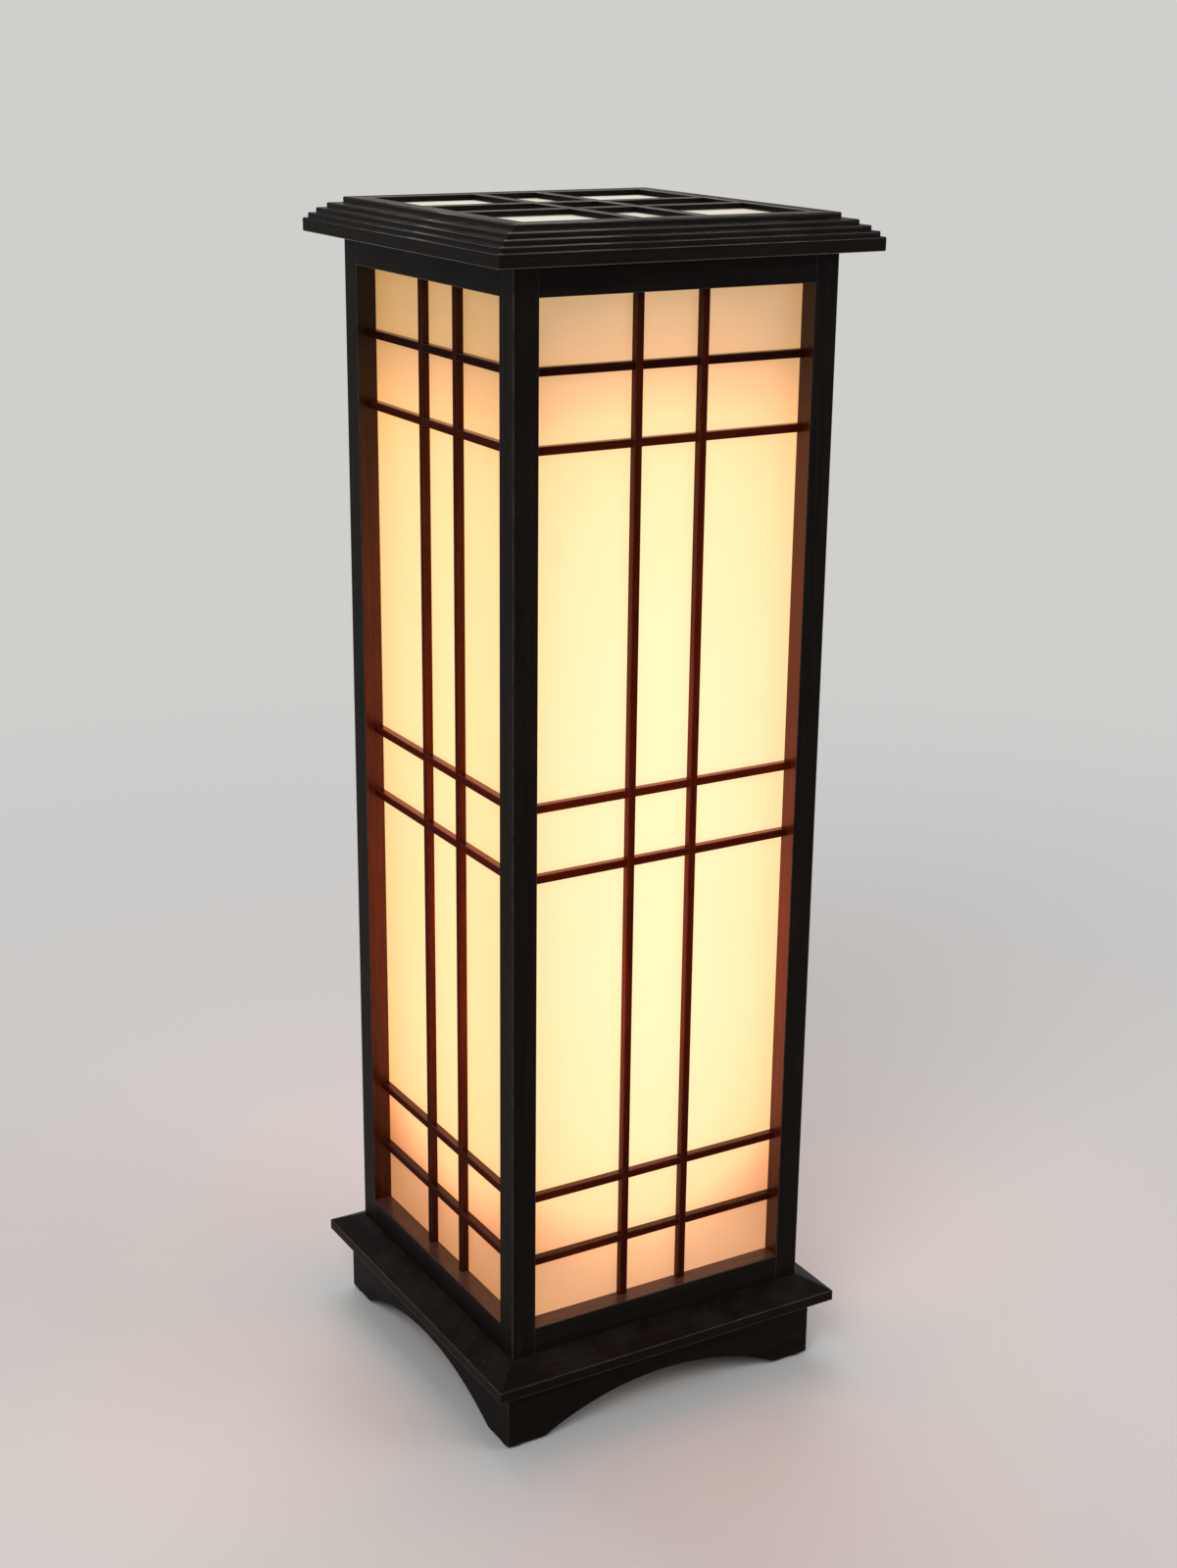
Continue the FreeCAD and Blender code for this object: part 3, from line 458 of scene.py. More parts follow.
# light coming through an opal panel, by height and by distance from its middle line
def makeGlowGroup():
    usual = sidePanel["wide"]
    tree, entry, leave = startGroup(
        "panelGlow",
        [("Across", "Float", 0.0), ("Height", "Float", sidePanel["middle"])]
        + [(part, "Float", usual[part]) for part in ("Reach", "Foot Bow", "Head Bow")]
        + [(part, "Color", usual[part]) for part in ("Foot", "Head", "Full")],
        [("Glow", "Color")])
    rows = sidePanel["rows"]
    low, high = rows[0][0], rows[-1][0]
    square = addMath(tree, "MULTIPLY", entry["Across"], entry["Across"])
    away = addMath(tree, "SUBTRACT", entry["Height"], sidePanel["middle"])
    above = addMath(tree, "GREATER_THAN", away, 0.0)
    bow = spread(tree, above, 0.0, 1.0, entry["Foot Bow"], entry["Head Bow"])
    drawn = addMath(tree, "MULTIPLY_ADD", square, bow, entry["Reach"])
    height = addMath(tree, "MULTIPLY_ADD", away, drawn, sidePanel["middle"])
    stops = [((z - low) / (high - low), (level, level, level, 1.0)) for z, level in rows]
    level = addRamp(tree, spread(tree, height, low, high), stops, "B_SPLINE")
    cloud = addMath(tree, "SUBTRACT", addNoise(tree, objectPlace(tree), *sidePanel["cloud"]), 0.5)
    mottled = addMath(tree, "MULTIPLY_ADD", cloud, sidePanel["mottle"], level, clamp=True)
    dim = mixColours(tree, above, entry["Foot"], entry["Head"])
    colour = mixColours(tree, mottled, dim, entry["Full"])
    # a level times (4 - 4 levels) is 1 halfway and nothing at both ends
    halfway = addMath(tree, "MULTIPLY", mottled, addMath(tree, "MULTIPLY_ADD", mottled, -4.0, 4.0))
    golden = mixColours(tree, halfway, white, sidePanel["halfway"])
    rising, falling = (spread(tree, entry["Height"], *sidePanel[end]) for end in ("emberFoot", "emberHead"))
    ember = mixColours(tree, addMath(tree, "MULTIPLY", rising, falling), white, sidePanel["ember"])
    out = addMath(tree, "MULTIPLY", square, 1.0 / sidePanel["halfWidth"] ** 2, clamp=True)
    fall = mixColours(tree, out, white, sidePanel["edge"])
    for tint in (golden, ember, fall):
        colour = mixColours(tree, 1.0, colour, tint, "MULTIPLY")
    fillInputs(tree, leave, {"Glow": colour})
    return tree


glowGroup = makeGlowGroup()


def makeSidePanel(name, acrossIndex, glowValues):
    material, tree, shader = startMaterial(
        name, Emission_Strength=sidePanel["strength"], Specular_IOR_Level=sidePanel["specular"])
    place = split(tree, objectPlace(tree))
    glow = useGroup(tree, glowGroup, {"Across": place[acrossIndex], "Height": place[2], **glowValues})["Glow"]
    looked = addNode(tree, "LightPath").outputs["Is Camera Ray"]
    speckle = useGroup(tree, speckleGroup, {"Scale": sidePanel["speckle"]})
    clouded = shade(sidePanel["base"], sidePanel["clouded"])
    fillInputs(tree, shader, {
        "Emission Color": mixColours(tree, looked, glow, sidePanel["seen"], "DARKEN"),
        "Base Color": mixColours(tree, speckle["Cloud"], sidePanel["base"], clouded),
        "Roughness": vary(tree, speckle["Cloud"], sidePanel["roughness"]),
    })
    addBump(tree, shader, speckle["Speckle"], sidePanel["bump"], sidePanel["bumpDepth"])
    return material


panelAcrossX = makeSidePanel("opalPanel_x", 0, sidePanel["wide"])
panelAcrossY = makeSidePanel("opalPanel_y", 1, sidePanel["narrow"])

roofPanel = {
    "base": (0.77, 0.70, 0.59, 1.0),
    "shade": (0.745, 0.675, 0.565, 1.0),
    "glow": (1.0, 0.74, 0.42, 1.0),
    "glowStrength": 0.07,
    "dust": (0.46, 0.42, 0.36, 1.0),
    "dustAmount": 0.12,
    "dustShade": 0.5,
    "roughness": (0.42, 0.6),
    "specular": 0.4,
    "speckle": 500.0,
    "bump": 0.08,
    "bumpDepth": 0.0002,
}


def makeRoofPanel():
    material, tree, shader = startMaterial(
        "roofOpal", Emission_Color=roofPanel["glow"], Emission_Strength=roofPanel["glowStrength"],
        Specular_IOR_Level=roofPanel["specular"])
    speckle = useGroup(tree, speckleGroup, {"Scale": roofPanel["speckle"]})
    dust = useGroup(tree, dustGroup, {"Amount": roofPanel["dustAmount"]})["Dust"]
    colour = mixColours(tree, vary(tree, speckle["Cloud"]), roofPanel["base"], roofPanel["shade"])
    dusty = addMath(tree, "MULTIPLY", dust, roofPanel["dustShade"])
    fillInputs(tree, shader, {
        "Base Color": mixColours(tree, dusty, colour, roofPanel["dust"]),
        "Roughness": vary(tree, speckle["Cloud"], roofPanel["roughness"]),
    })
    addBump(tree, shader, speckle["Speckle"], roofPanel["bump"], roofPanel["bumpDepth"])
    return material


roofOpal = makeRoofPanel()
print("panel finishes ready")

drawnTube = {
    "bright": (0.62, 0.62, 0.63, 1.0),
    "dull": (0.48, 0.48, 0.49, 1.0),
    "drawing": (1400.0, 1400.0, 14.0),  # fine lines along the tube
    "lines": (1.0, 4.0, 0.6),
    "roughness": (0.30, 0.48),
    "bump": 0.12,
    "bumpDepth": 0.0001,
}


def makeTubeMetal():
    material, tree, shader = startMaterial("drawnTube", Metallic=1.0)
    place = stretch(tree, objectPlace(tree), drawnTube["drawing"])
    lines = addNoise(tree, place, *drawnTube["lines"])
    cloud = useGroup(tree, speckleGroup)["Cloud"]
    fillInputs(tree, shader, {
        "Base Color": mixColours(tree, lines, drawnTube["bright"], drawnTube["dull"]),
        "Roughness": vary(tree, cloud, drawnTube["roughness"]),
    })
    addBump(tree, shader, lines, drawnTube["bump"], drawnTube["bumpDepth"])
    return material


moulded = {  # the core's foot and cap, and the sheath of the lead
    "white": {
        "colour": (0.72, 0.71, 0.68, 1.0), "roughness": (0.42, 0.56), "speckle": 900.0, "specular": 0.5,
    },
    "sheath": {
        "colour": (0.020, 0.020, 0.021, 1.0), "roughness": (0.50, 0.66), "speckle": 1500.0, "specular": 0.35,
    },
    "clouded": 0.82,
    "bump": 0.15,
    "bumpDepth": 0.00015,
}


def makeMoulded(name, values):
    material, tree, shader = startMaterial(name, Specular_IOR_Level=values["specular"])
    speckle = useGroup(tree, speckleGroup, {"Scale": values["speckle"]})
    clouded = shade(values["colour"], moulded["clouded"])
    fillInputs(tree, shader, {
        "Base Color": mixColours(tree, speckle["Cloud"], values["colour"], clouded),
        "Roughness": vary(tree, speckle["Cloud"], values["roughness"]),
    })
    addBump(tree, shader, speckle["Speckle"], moulded["bump"], moulded["bumpDepth"])
    return material


strip = {
    "head": 0.5001,
    "pitch": 0.0333,  # spacing of the emitters
    "colour": (0.74, 0.73, 0.70, 1.0),
    "copper": (0.62, 0.33, 0.16, 1.0),
    "padStart": 0.43,  # part of the pitch from an emitter to the pads
    "padSpot": 0.0026,  # from the strip's middle line
    "padHalf": 0.0013,
    "roughness": (0.38, 0.55),
    "specular": 0.4,
    "bump": 0.3,
    "bumpDepth": 0.0001,
}


# place within one pitch of the strip, nothing at the emitter and half at the joints
def stripStep(tree, height):
    fromHead = addMath(tree, "SUBTRACT", strip["head"], height)
    step = addMath(tree, "FRACT", addMath(tree, "DIVIDE", fromHead, strip["pitch"]))
    return addMath(tree, "SUBTRACT", step, 0.5)


# white strip with a pair of copper pads between emitters
def makeStrip(name, acrossIndex):
    material, tree, shader = startMaterial(name, Specular_IOR_Level=strip["specular"])
    place = split(tree, objectPlace(tree))
    step = addMath(tree, "ABSOLUTE", stripStep(tree, place[2]))
    nearJoint = addMath(tree, "GREATER_THAN", step, strip["padStart"])
    across = addMath(tree, "ABSOLUTE", place[acrossIndex])
    onPad = addMath(tree, "COMPARE", across, strip["padSpot"], strip["padHalf"])
    pad = addMath(tree, "MULTIPLY", nearJoint, onPad)
    cloud = useGroup(tree, speckleGroup)["Cloud"]
    fillInputs(tree, shader, {
        "Base Color": mixColours(tree, pad, strip["colour"], strip["copper"]),
        "Metallic": pad,
        "Roughness": vary(tree, cloud, strip["roughness"]),
    })
    addBump(tree, shader, pad, strip["bump"], strip["bumpDepth"])
    return material


emitters = {
    "phosphor": (1.0, 0.70, 0.36, 1.0),
    "deep": (1.0, 0.62, 0.26, 1.0),
    "strength": 4.0,
    "discRadius": 0.0019,
    "discEdge": 0.0001,
    "roughness": (0.28, 0.40),
    "speckle": 2500.0,
    "bump": 0.4,
    "bumpDepth": 0.0002,
}


# white housing round a lit disc of phosphor, one on each step of the strip
def makeEmitter():
    material, tree, shader = startMaterial("emitterPhosphor", Emission_Strength=emitters["strength"])
    place = split(tree, objectPlace(tree))
    across = addMath(tree, "MINIMUM", *(addMath(tree, "ABSOLUTE", place[i]) for i in (0, 1)))
    along = addMath(tree, "MULTIPLY", stripStep(tree, place[2]), strip["pitch"])
    away = lengthOf(tree, addNode(tree, "CombineXYZ", {0: across, 1: along}).outputs[0])
    radius, edge = emitters["discRadius"], emitters["discEdge"]
    disc = spread(tree, away, radius + edge, radius - edge)
    speckle = useGroup(tree, speckleGroup, {"Scale": emitters["speckle"]})["Speckle"]
    phosphor = mixColours(tree, speckle, emitters["phosphor"], emitters["deep"])
    fillInputs(tree, shader, {
        "Base Color": mixColours(tree, disc, strip["colour"], phosphor),
        "Emission Color": mixColours(tree, disc, black, phosphor),
        "Roughness": vary(tree, speckle, emitters["roughness"]),
    })
    sunk = addMath(tree, "SUBTRACT", 1.0, disc)  # the disc sits low in its housing
    addBump(tree, shader, sunk, emitters["bump"], emitters["bumpDepth"])
    return material


inlet = {
    "height": 0.0265,
    "body": (0.014, 0.014, 0.015, 1.0),
    "clouded": (0.024, 0.024, 0.025, 1.0),
    "pin": (0.62, 0.60, 0.56, 1.0),
    "pinRadius": 0.0016,
    "roughness": (0.28, 0.42),
    "specular": 0.45,
    "speckle": 1200.0,
    "bump": 0.15,
    "bumpDepth": 0.00015,
}


# black moulded housing with a plated pin on its axis
def makeInlet():
    material, tree, shader = startMaterial("inletBody", Specular_IOR_Level=inlet["specular"])
    place = split(tree, objectPlace(tree))
    rise = addMath(tree, "SUBTRACT", place[2], inlet["height"])
    away = lengthOf(tree, addNode(tree, "CombineXYZ", {0: place[0], 1: rise}).outputs[0])
    onPin = addMath(tree, "LESS_THAN", away, inlet["pinRadius"])
    speckle = useGroup(tree, speckleGroup, {"Scale": inlet["speckle"]})
    housing = mixColours(tree, speckle["Cloud"], inlet["body"], inlet["clouded"])
    fillInputs(tree, shader, {
        "Base Color": mixColours(tree, onPin, housing, inlet["pin"]),
        "Metallic": onPin,
        "Roughness": vary(tree, speckle["Cloud"], inlet["roughness"]),
    })
    addBump(tree, shader, speckle["Speckle"], inlet["bump"], inlet["bumpDepth"])
    return material


zincPlate = {
    "bright": (0.58, 0.58, 0.57, 1.0),
    "dull": (0.46, 0.45, 0.42, 1.0),
    "roughness": (0.25, 0.45),
    "speckle": 1600.0,
    "bump": 0.1,
    "bumpDepth": 0.0001,
}


def makeZinc():
    material, tree, shader = startMaterial("zincPlate", Metallic=1.0)
    speckle = useGroup(tree, speckleGroup, {"Scale": zincPlate["speckle"]})
    fillInputs(tree, shader, {
        "Base Color": mixColours(tree, speckle["Cloud"], zincPlate["bright"], zincPlate["dull"]),
        "Roughness": vary(tree, speckle["Speckle"], zincPlate["roughness"]),
    })
    addBump(tree, shader, speckle["Speckle"], zincPlate["bump"], zincPlate["bumpDepth"])
    return material


feltPads = {
    "dark": (0.018, 0.016, 0.014, 1.0),
    "pale": (0.075, 0.068, 0.060, 1.0),
    "fibres": (2600.0, 4.0, 0.7, 1.2),
    "roughness": (0.85, 1.0),
    "specular": 0.1,
    "sheen": 0.4,
    "sheenRoughness": 0.6,
    "bump": 0.6,
    "bumpDepth": 0.0004,
}


def makeFelt():
    material, tree, shader = startMaterial(
        "pressedFelt", Specular_IOR_Level=feltPads["specular"],
        Sheen_Weight=feltPads["sheen"], Sheen_Roughness=feltPads["sheenRoughness"])
    fibres = addNoise(tree, objectPlace(tree), *feltPads["fibres"])
    fillInputs(tree, shader, {
        "Base Color": mixColours(tree, fibres, feltPads["dark"], feltPads["pale"]),
        "Roughness": vary(tree, fibres, feltPads["roughness"]),
    })
    addBump(tree, shader, fibres, feltPads["bump"], feltPads["bumpDepth"])
    return material


tubeMetal = makeTubeMetal()
mouldedWhite = makeMoulded("mouldedWhite", moulded["white"])
leadSheath = makeMoulded("leadSheath", moulded["sheath"])
inletBody = makeInlet()
stripAcrossX = makeStrip("emitterStrip_x", 0)
stripAcrossY = makeStrip("emitterStrip_y", 1)
emitterPhosphor = makeEmitter()
zinc = makeZinc()
felt = makeFelt()
print("core and fitting finishes ready")


def dress(piece, *materials):
    if len(piece.data.materials):  # clearing also forgets which face has which finish
        piece.data.materials.clear()
    for material in materials:
        piece.data.materials.append(material)


def placePiece(name, data, nodeName, body, slot, *materials):
    piece = bpy.data.objects.new(name, data)
    scene.collection.objects.link(piece)
    dress(piece, *materials)
    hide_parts(nodeName)
    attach(piece, body)
    return piece


def meshFrom(shape, name, sharp):
    mesh = bpy.data.meshes.new(name)
    shape.to_mesh(mesh)
    shape.free()
    mesh.set_sharp_from_angle(angle=math.radians(sharp))
    return mesh


easing = {
    "post": 0.0004, "rail": 0.0004, "lattice": 0.00035, "skirt": 0.0005, "plinth": 0.0004,
    "roof": 0.0003, "roofBars": 0.00035,
    "longOnly": 0.02,  # tenons, mortises and laps stay as cut
    "skirtShortest": 0.004,  # the arch is a run of short arrises
    "leastTurn": 35.0,  # degrees between the faces of an arris
    "sharp": 50.0,  # degrees past which an edge is drawn sharp
    "flat": 0.5,  # faces within this angle are one
    "merge": 0.000002,
    "narrow": 0.0005,  # strips under this width are the rubbed arrises
}


# a timber piece as the CAD has it, with its long arrises eased so that they catch the light
def easePiece(nodeName, body, slot, materials, width, shortest, isReveal=None):
    shape = bmesh.new()
    shape.from_mesh(nodes[nodeName].data)
    bmesh.ops.remove_doubles(shape, verts=shape.verts[:], dist=easing["merge"])
    flat = math.radians(easing["flat"])
    bmesh.ops.dissolve_limit(shape, angle_limit=flat, verts=shape.verts[:], edges=shape.edges[:])
    turned = math.radians(easing["leastTurn"])
    convex = [edge for edge in shape.edges if edge.is_manifold and edge.is_convex]
    arrises = [edge for edge in convex if edge.calc_length() > shortest and edge.calc_face_angle() > turned]
    bmesh.ops.bevel(shape, geom=arrises, offset=width, offset_type="OFFSET", affect="EDGES",
                    segments=2, profile=0.5, material=-1, clamp_overlap=False)
    shape.normal_update()
    for face in shape.faces:
        face.smooth = True
        longest = max(edge.calc_length() for edge in face.edges)
        if face.calc_area() / longest < easing["narrow"]:
            face.material_index = 1
        # faces turned to the panels take the third finish, which on posts, rails and uprights carries painted
        # light
        elif isReveal and isReveal(face.normal, face.calc_center_median()):
            face.material_index = 2
    name = nodeName + "_eased"
    piece = placePiece(name, meshFrom(shape, name, easing["sharp"]), nodeName, body, slot, *materials)
    piece.modifiers.new("evenNormals", "WEIGHTED_NORMAL").keep_sharp = True


opening = {
    "half": 0.073,  # the posts' inner faces
    "slack": 0.0002,
    "sill": 0.06,  # a rail's upper face above this is a sill
    "head": 0.575,  # a rail's lower face below this is the head of the opening
    "squareOn": 0.9,  # cosine past which a face counts as square to its axis
}


def facesOpening(normal, centre):
    for turn, spot in ((normal.x, centre.x), (normal.y, centre.y)):
        inward = turn * spot < -opening["squareOn"] * abs(spot)
        if inward and abs(abs(spot) - opening["half"]) < opening["slack"]:
            return True
    return False


def facesSill(normal, centre):
    return normal.z > opening["squareOn"] and centre.z > opening["sill"]


def facesHead(normal, centre):
    return normal.z < -opening["squareOn"] and centre.z < opening["head"]


def facesSideways(normal, centre):
    onWideFace = abs(centre.y) > abs(centre.x)
    return abs(normal.x if onWideFace else normal.y) > opening["squareOn"]


def facesUp(normal, centre):
    return normal.z > opening["squareOn"]


longOnly = easing["longOnly"]
for corner in corners:
    easePiece("post_" + corner, "base", "lacquered_wood", postTimber, easing["post"], longOnly, facesOpening)
for side in sides:
    axis = "x" if side in ("front", "back") else "y"
    for name, body, materials, width, shortest, isReveal in (
            ("bottom_rail_", "base", railTimber[axis], easing["rail"], longOnly, facesSill),
            ("top_rail_", "base", railTimber[axis], easing["rail"], longOnly, facesHead),
            ("skirt_", "base", railTimber[axis], easing["skirt"], easing["skirtShortest"], None),
            ("plinth_", "base", railTimber[axis], easing["plinth"], longOnly, None),
            ("uprights_", "base", uprightTimber, easing["lattice"], longOnly, facesSideways),
            ("crossbars_", "base", crossTimber[axis], easing["lattice"], longOnly, facesUp),
            ("roof_moulding_", "roof", roofTimber[axis], easing["roof"], longOnly, None)):
        easePiece(name + side, body, "lacquered_wood", materials, width, shortest, isReveal)
for name, axis in (("roof_bars_front_to_back", "y"), ("roof_bars_side_to_side", "x")):
    easePiece(name, "roof", "lacquered_wood", roofTimber[axis], easing["roofBars"], longOnly)
print("timber eased")

# moulded and inner pieces, with every arris that a finger would find: width of the easing and shortest arris
for name, body, slot, material, width, shortest in (
        ("corner_blocks", "base", "inner_wood", blockTimber, 0.0005, 0.010),
        ("roof_cleats", "roof", "inner_wood", boardTimber, 0.0004, 0.006),
        ("core_foot", "base", "core_plastic", mouldedWhite, 0.0005, 0.010),
        ("core_cap", "base", "core_plastic", mouldedWhite, 0.0006, 0.008),
        ("led_chips", "base", "led", emitterPhosphor, 0.0002, 0.001)):
    easePiece(name, body, slot, (material, material), width, shortest)
print("inner pieces eased")

# pan-head screws with a cross recess
screws = {
    "topRadius": 0.0023, "shoulderRadius": 0.0031, "headRadius": 0.0035, "headHeight": 0.0024,
    "shoulderRise": 0.72, "rimRise": 0.35,  # parts of the head's height
    "recessReach": 0.62, "recessDepth": 0.0013, "recessTaper": 0.55,
    "gridCells": 5,  # the middle row and column of the top become the recess
    "onMiddle": 0.0002,
    "shankRadius": 0.00175, "pointLength": 0.004, "pointBlunt": 0.2,
    "sharp": 40.0,
    "turns": (0.35, 1.10, 0.72, 1.42),  # how each one happened to stop
    "board": (0.05835, 0.0405, 0.0160),  # spot, seat and length of the floor board's screws
    "foot": (0.0261, 0.0455, 0.0105),
}


def growRing(shape, edges, radius, height):
    grown = bmesh.ops.extrude_edge_only(shape, edges=edges)["geom"]
    ring = [item for item in grown if isinstance(item, bmesh.types.BMVert)]
    for vert in ring:
        flat = vert.co.xy.normalized() * radius
        vert.co = (flat.x, flat.y, height)
    return [item for item in grown if isinstance(item, bmesh.types.BMEdge) and item.is_boundary]


def inRecess(face):
    centre = face.calc_center_median()
    onMiddle = min(abs(centre.x), abs(centre.y)) < screws["onMiddle"]
    return onMiddle and centre.xy.length < screws["recessReach"] * screws["topRadius"]


def addScrew(shape, length):
    top, cells = screws["headHeight"], screws["gridCells"]
    before = set(shape.verts)
    bmesh.ops.create_grid(shape, x_segments=cells, y_segments=cells, size=screws["topRadius"])
    verts = [vert for vert in shape.verts if vert not in before]
    faces = list({face for vert in verts for face in vert.link_faces})
    rim = [edge for edge in {edge for vert in verts for edge in vert.link_edges} if edge.is_boundary]
    for vert in {vert for edge in rim for vert in edge.verts}:
        vert.co = vert.co.normalized() * screws["topRadius"]
    bmesh.ops.translate(shape, verts=verts, vec=(0.0, 0.0, top))
    cross = [face for face in faces if inRecess(face)]
    sunk = bmesh.ops.extrude_face_region(shape, geom=cross)["geom"]
    bmesh.ops.delete(shape, geom=cross, context="FACES_ONLY")
    floor = [item for item in sunk if isinstance(item, bmesh.types.BMVert)]
    taper = screws["recessTaper"]
    bmesh.ops.scale(shape, verts=floor, vec=(taper, taper, 1.0))
    bmesh.ops.translate(shape, verts=floor, vec=(0.0, 0.0, -screws["recessDepth"]))
    for radius, height in (
            (screws["shoulderRadius"], screws["shoulderRise"] * top),
            (screws["headRadius"], screws["rimRise"] * top),
            (screws["headRadius"], 0.0),
            (screws["shankRadius"], 0.0),
            (screws["shankRadius"], screws["pointLength"] - length),
            (screws["pointBlunt"] * screws["shankRadius"], -length)):
        rim = growRing(shape, rim, radius, height)
    bmesh.ops.contextual_create(shape, geom=rim)
    return [vert for vert in shape.verts if vert not in before]


def makeScrews(name, nodeName, spot, seat, length):
    shape = bmesh.new()
    for (across, deep), turn in zip(((1, 1), (-1, 1), (-1, -1), (1, -1)), screws["turns"]):
        verts = addScrew(shape, length)
        bmesh.ops.rotate(shape, verts=verts, cent=(0.0, 0.0, 0.0), matrix=Matrix.Rotation(turn, 3, "Z"))
        bmesh.ops.translate(shape, verts=verts, vec=(across * spot, deep * spot, seat))
    bmesh.ops.recalc_face_normals(shape, faces=shape.faces[:])
    for face in shape.faces:
        face.smooth = True
    placePiece(name, meshFrom(shape, name, screws["sharp"]), nodeName, "base", "zinc_steel", zinc)


makeScrews("floorBoardScrews", "board_screws", *screws["board"])
makeScrews("coreFootScrews", "foot_screws", *screws["foot"])
print("screws driven")

for side in sides:
    along = side in ("front", "back")
    dress(nodes["panel_" + side], panelAcrossX if along else panelAcrossY)
    dress(nodes["led_strip_" + side], stripAcrossX if along else stripAcrossY)
for name, material in (
        ("roof_panel", roofOpal), ("floor_board", boardTimber), ("core_tube", tubeMetal),
        ("jack_nut", zinc), ("power_jack", inletBody), ("foot_pads", felt)):
    dress(nodes[name], material)
print("carried-over pieces dressed")

supplyLead = {
    "radius": 0.002,
    "route": (  # inlet to core
        (0.0, 0.0675, 0.0265), (0.0, 0.0290, 0.0265), (0.0, 0.0, 0.0265), (0.0, 0.0, 0.0635)),
    "stepsAlong": 16,
    "stepsRound": 5,
}


# round sheathed lead on one smooth line
def makeSupplyLead():
    curve = bpy.data.curves.new("supplyLead", "CURVE")
    curve.dimensions = "3D"
    curve.resolution_u = supplyLead["stepsAlong"]
    curve.bevel_depth = supplyLead["radius"]
    curve.bevel_resolution = supplyLead["stepsRound"]
    curve.use_fill_caps = True
    line = curve.splines.new("NURBS")
    line.points.add(len(supplyLead["route"]) - 1)
    for point, place in zip(line.points, supplyLead["route"]):
        point.co = (*place, 1.0)
    line.order_u = 3
    line.use_endpoint_u = True
    placePiece("supplyLead", curve, "supply_lead", "base", "lead_sheath", leadSheath)


makeSupplyLead()
print("lead laid")

studio = {
    "floor": (0.64, 0.63, 0.615, 1.0),
    "floorRoughness": 0.9,
    "floorSpecular": 0.1,
    "floorRadius": 9.0,
    "floorSegments": 96,
    "background": (0.63, 0.625, 0.61, 1.0),
    "fade": (0.35, 1.5),  # the floor melts into the background over this distance
    "worldColour": (0.95, 0.97, 1.0, 1.0),
    "worldStrength": 0.42,
    "lamps": (  # name, place, aim, size, watts
        ("keyLamp", (-1.5, -1.3, 1.9), (0.0, 0.0, 0.3), 1.4, 26.0),
        ("fillLamp", (1.7, -1.5, 1.1), (0.0, 0.0, 0.3), 1.4, 12.0),
        ("topLamp", (0.3, 1.2, 2.1), (0.0, 0.0, 0.4), 1.6, 18.0),
    ),
}


# what is looked at, straight on or in something shiny or clear
def addLookedAt(tree):
    paths = addNode(tree, "LightPath").outputs
    turned = addMath(tree, "MAXIMUM", paths["Is Glossy Ray"], paths["Is Transmission Ray"])
    return addMath(tree, "MAXIMUM", paths["Is Camera Ray"], turned)


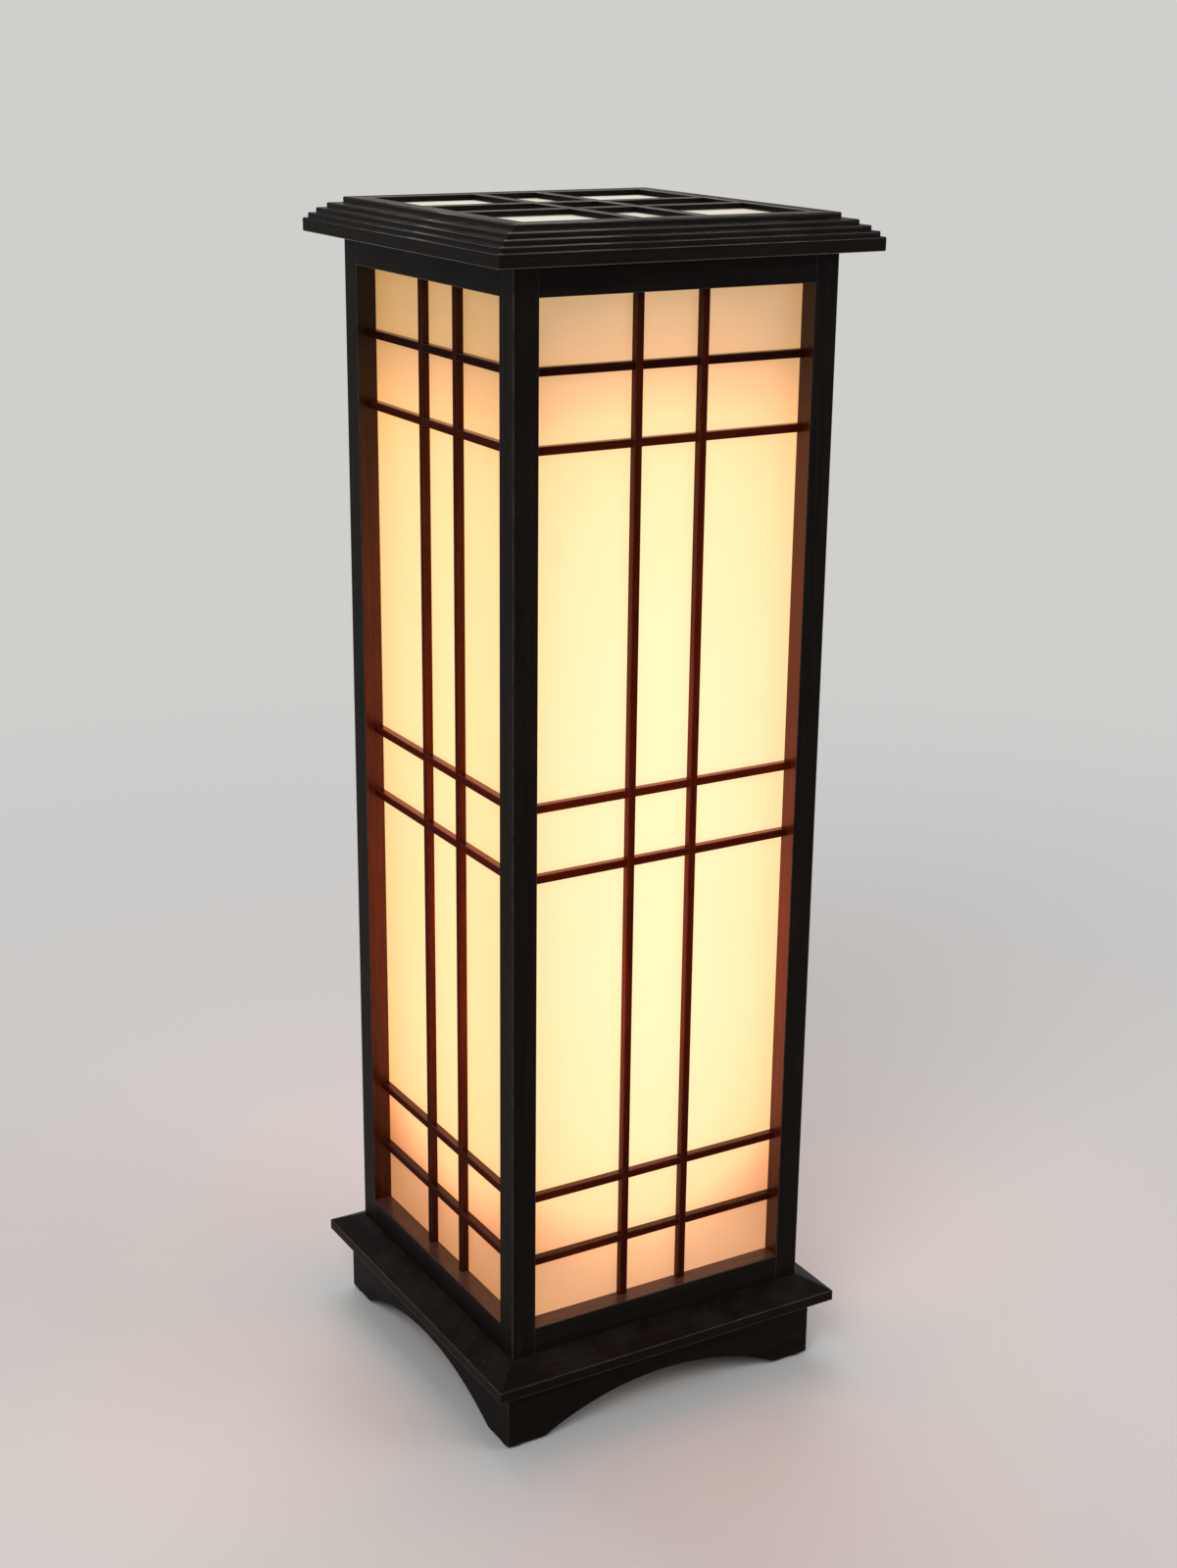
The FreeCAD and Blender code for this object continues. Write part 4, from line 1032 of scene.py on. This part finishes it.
def makeFloor():
    shape = bmesh.new()
    bmesh.ops.create_circle(
        shape, cap_ends=True, segments=studio["floorSegments"], radius=studio["floorRadius"])
    mesh = bpy.data.meshes.new("studioFloor")
    shape.to_mesh(mesh)
    shape.free()
    floor = bpy.data.objects.new("studioFloor", mesh)
    scene.collection.objects.link(floor)
    material, tree, shader = startMaterial(
        "studioFloor", Base_Color=studio["floor"], Roughness=studio["floorRoughness"],
        Specular_IOR_Level=studio["floorSpecular"])
    near, far = studio["fade"]
    fade = spread(tree, lengthOf(tree, objectPlace(tree)), near, far, curve="SMOOTHSTEP")
    share = addMath(tree, "MULTIPLY", fade, addLookedAt(tree))
    plain = addNode(tree, "Emission", {"Color": studio["background"], "Strength": 1.0}).outputs[0]
    mixed = addNode(tree, "MixShader", {0: share, 1: shader.outputs[0], 2: plain}).outputs[0]
    fillInputs(tree, tree.nodes["Material Output"], {"Surface": mixed})
    dress(floor, material)


def makeWorld():
    world = bpy.data.worlds.new("studioWorld")
    scene.world = world
    world.use_nodes = True
    tree = world.node_tree
    tree.nodes.clear()
    sky = {"Color": studio["worldColour"], "Strength": studio["worldStrength"]}
    light = addNode(tree, "Background", sky).outputs[0]
    plain = addNode(tree, "Background", {"Color": studio["background"], "Strength": 1.0}).outputs[0]
    mixed = addNode(tree, "MixShader", {0: addLookedAt(tree), 1: light, 2: plain}).outputs[0]
    addNode(tree, "OutputWorld", {"Surface": mixed})


def makeLamps():
    for name, place, aim, size, watts in studio["lamps"]:
        light = bpy.data.lights.new(name, "AREA")
        light.shape = "DISK"
        light.size = size
        light.energy = watts
        lamp = bpy.data.objects.new(name, light)
        lamp.location = place
        lamp.rotation_euler = (Vector(aim) - Vector(place)).to_track_quat("-Z", "Y").to_euler()
        scene.collection.objects.link(lamp)


viewpoint = {
    "azimuth": -30.602, "elevation": 18.278, "roll": 0.66,  # degrees, seen from the front left and above
    "sideways": 0.00782, "upwards": 0.29570, "distance": 1.28499,
    "lens": 53.3215,
    "sensor": 36.0,
}


def makeCamera():
    around, over, roll = (math.radians(viewpoint[key]) for key in ("azimuth", "elevation", "roll"))
    level = math.cos(over)
    back = Vector((math.sin(around) * level, -math.cos(around) * level, math.sin(over)))
    right = Vector((0.0, 0.0, 1.0)).cross(back).normalized()
    up = back.cross(right)
    c, s = math.cos(roll), math.sin(roll)
    right, up = c * right + s * up, c * up - s * right
    eye = viewpoint["sideways"] * right + viewpoint["upwards"] * up + viewpoint["distance"] * back
    data = bpy.data.cameras.new("photoCamera")
    data.lens = viewpoint["lens"]
    data.sensor_width = viewpoint["sensor"]
    camera = bpy.data.objects.new("photoCamera", data)
    turn = Matrix((right, up, back)).transposed().to_4x4()
    camera.matrix_world = Matrix.Translation(eye) @ turn
    scene.collection.objects.link(camera)
    scene.camera = camera


makeFloor()
makeWorld()
makeLamps()
makeCamera()
scene.view_settings.view_transform = "Standard"
print("studio ready")
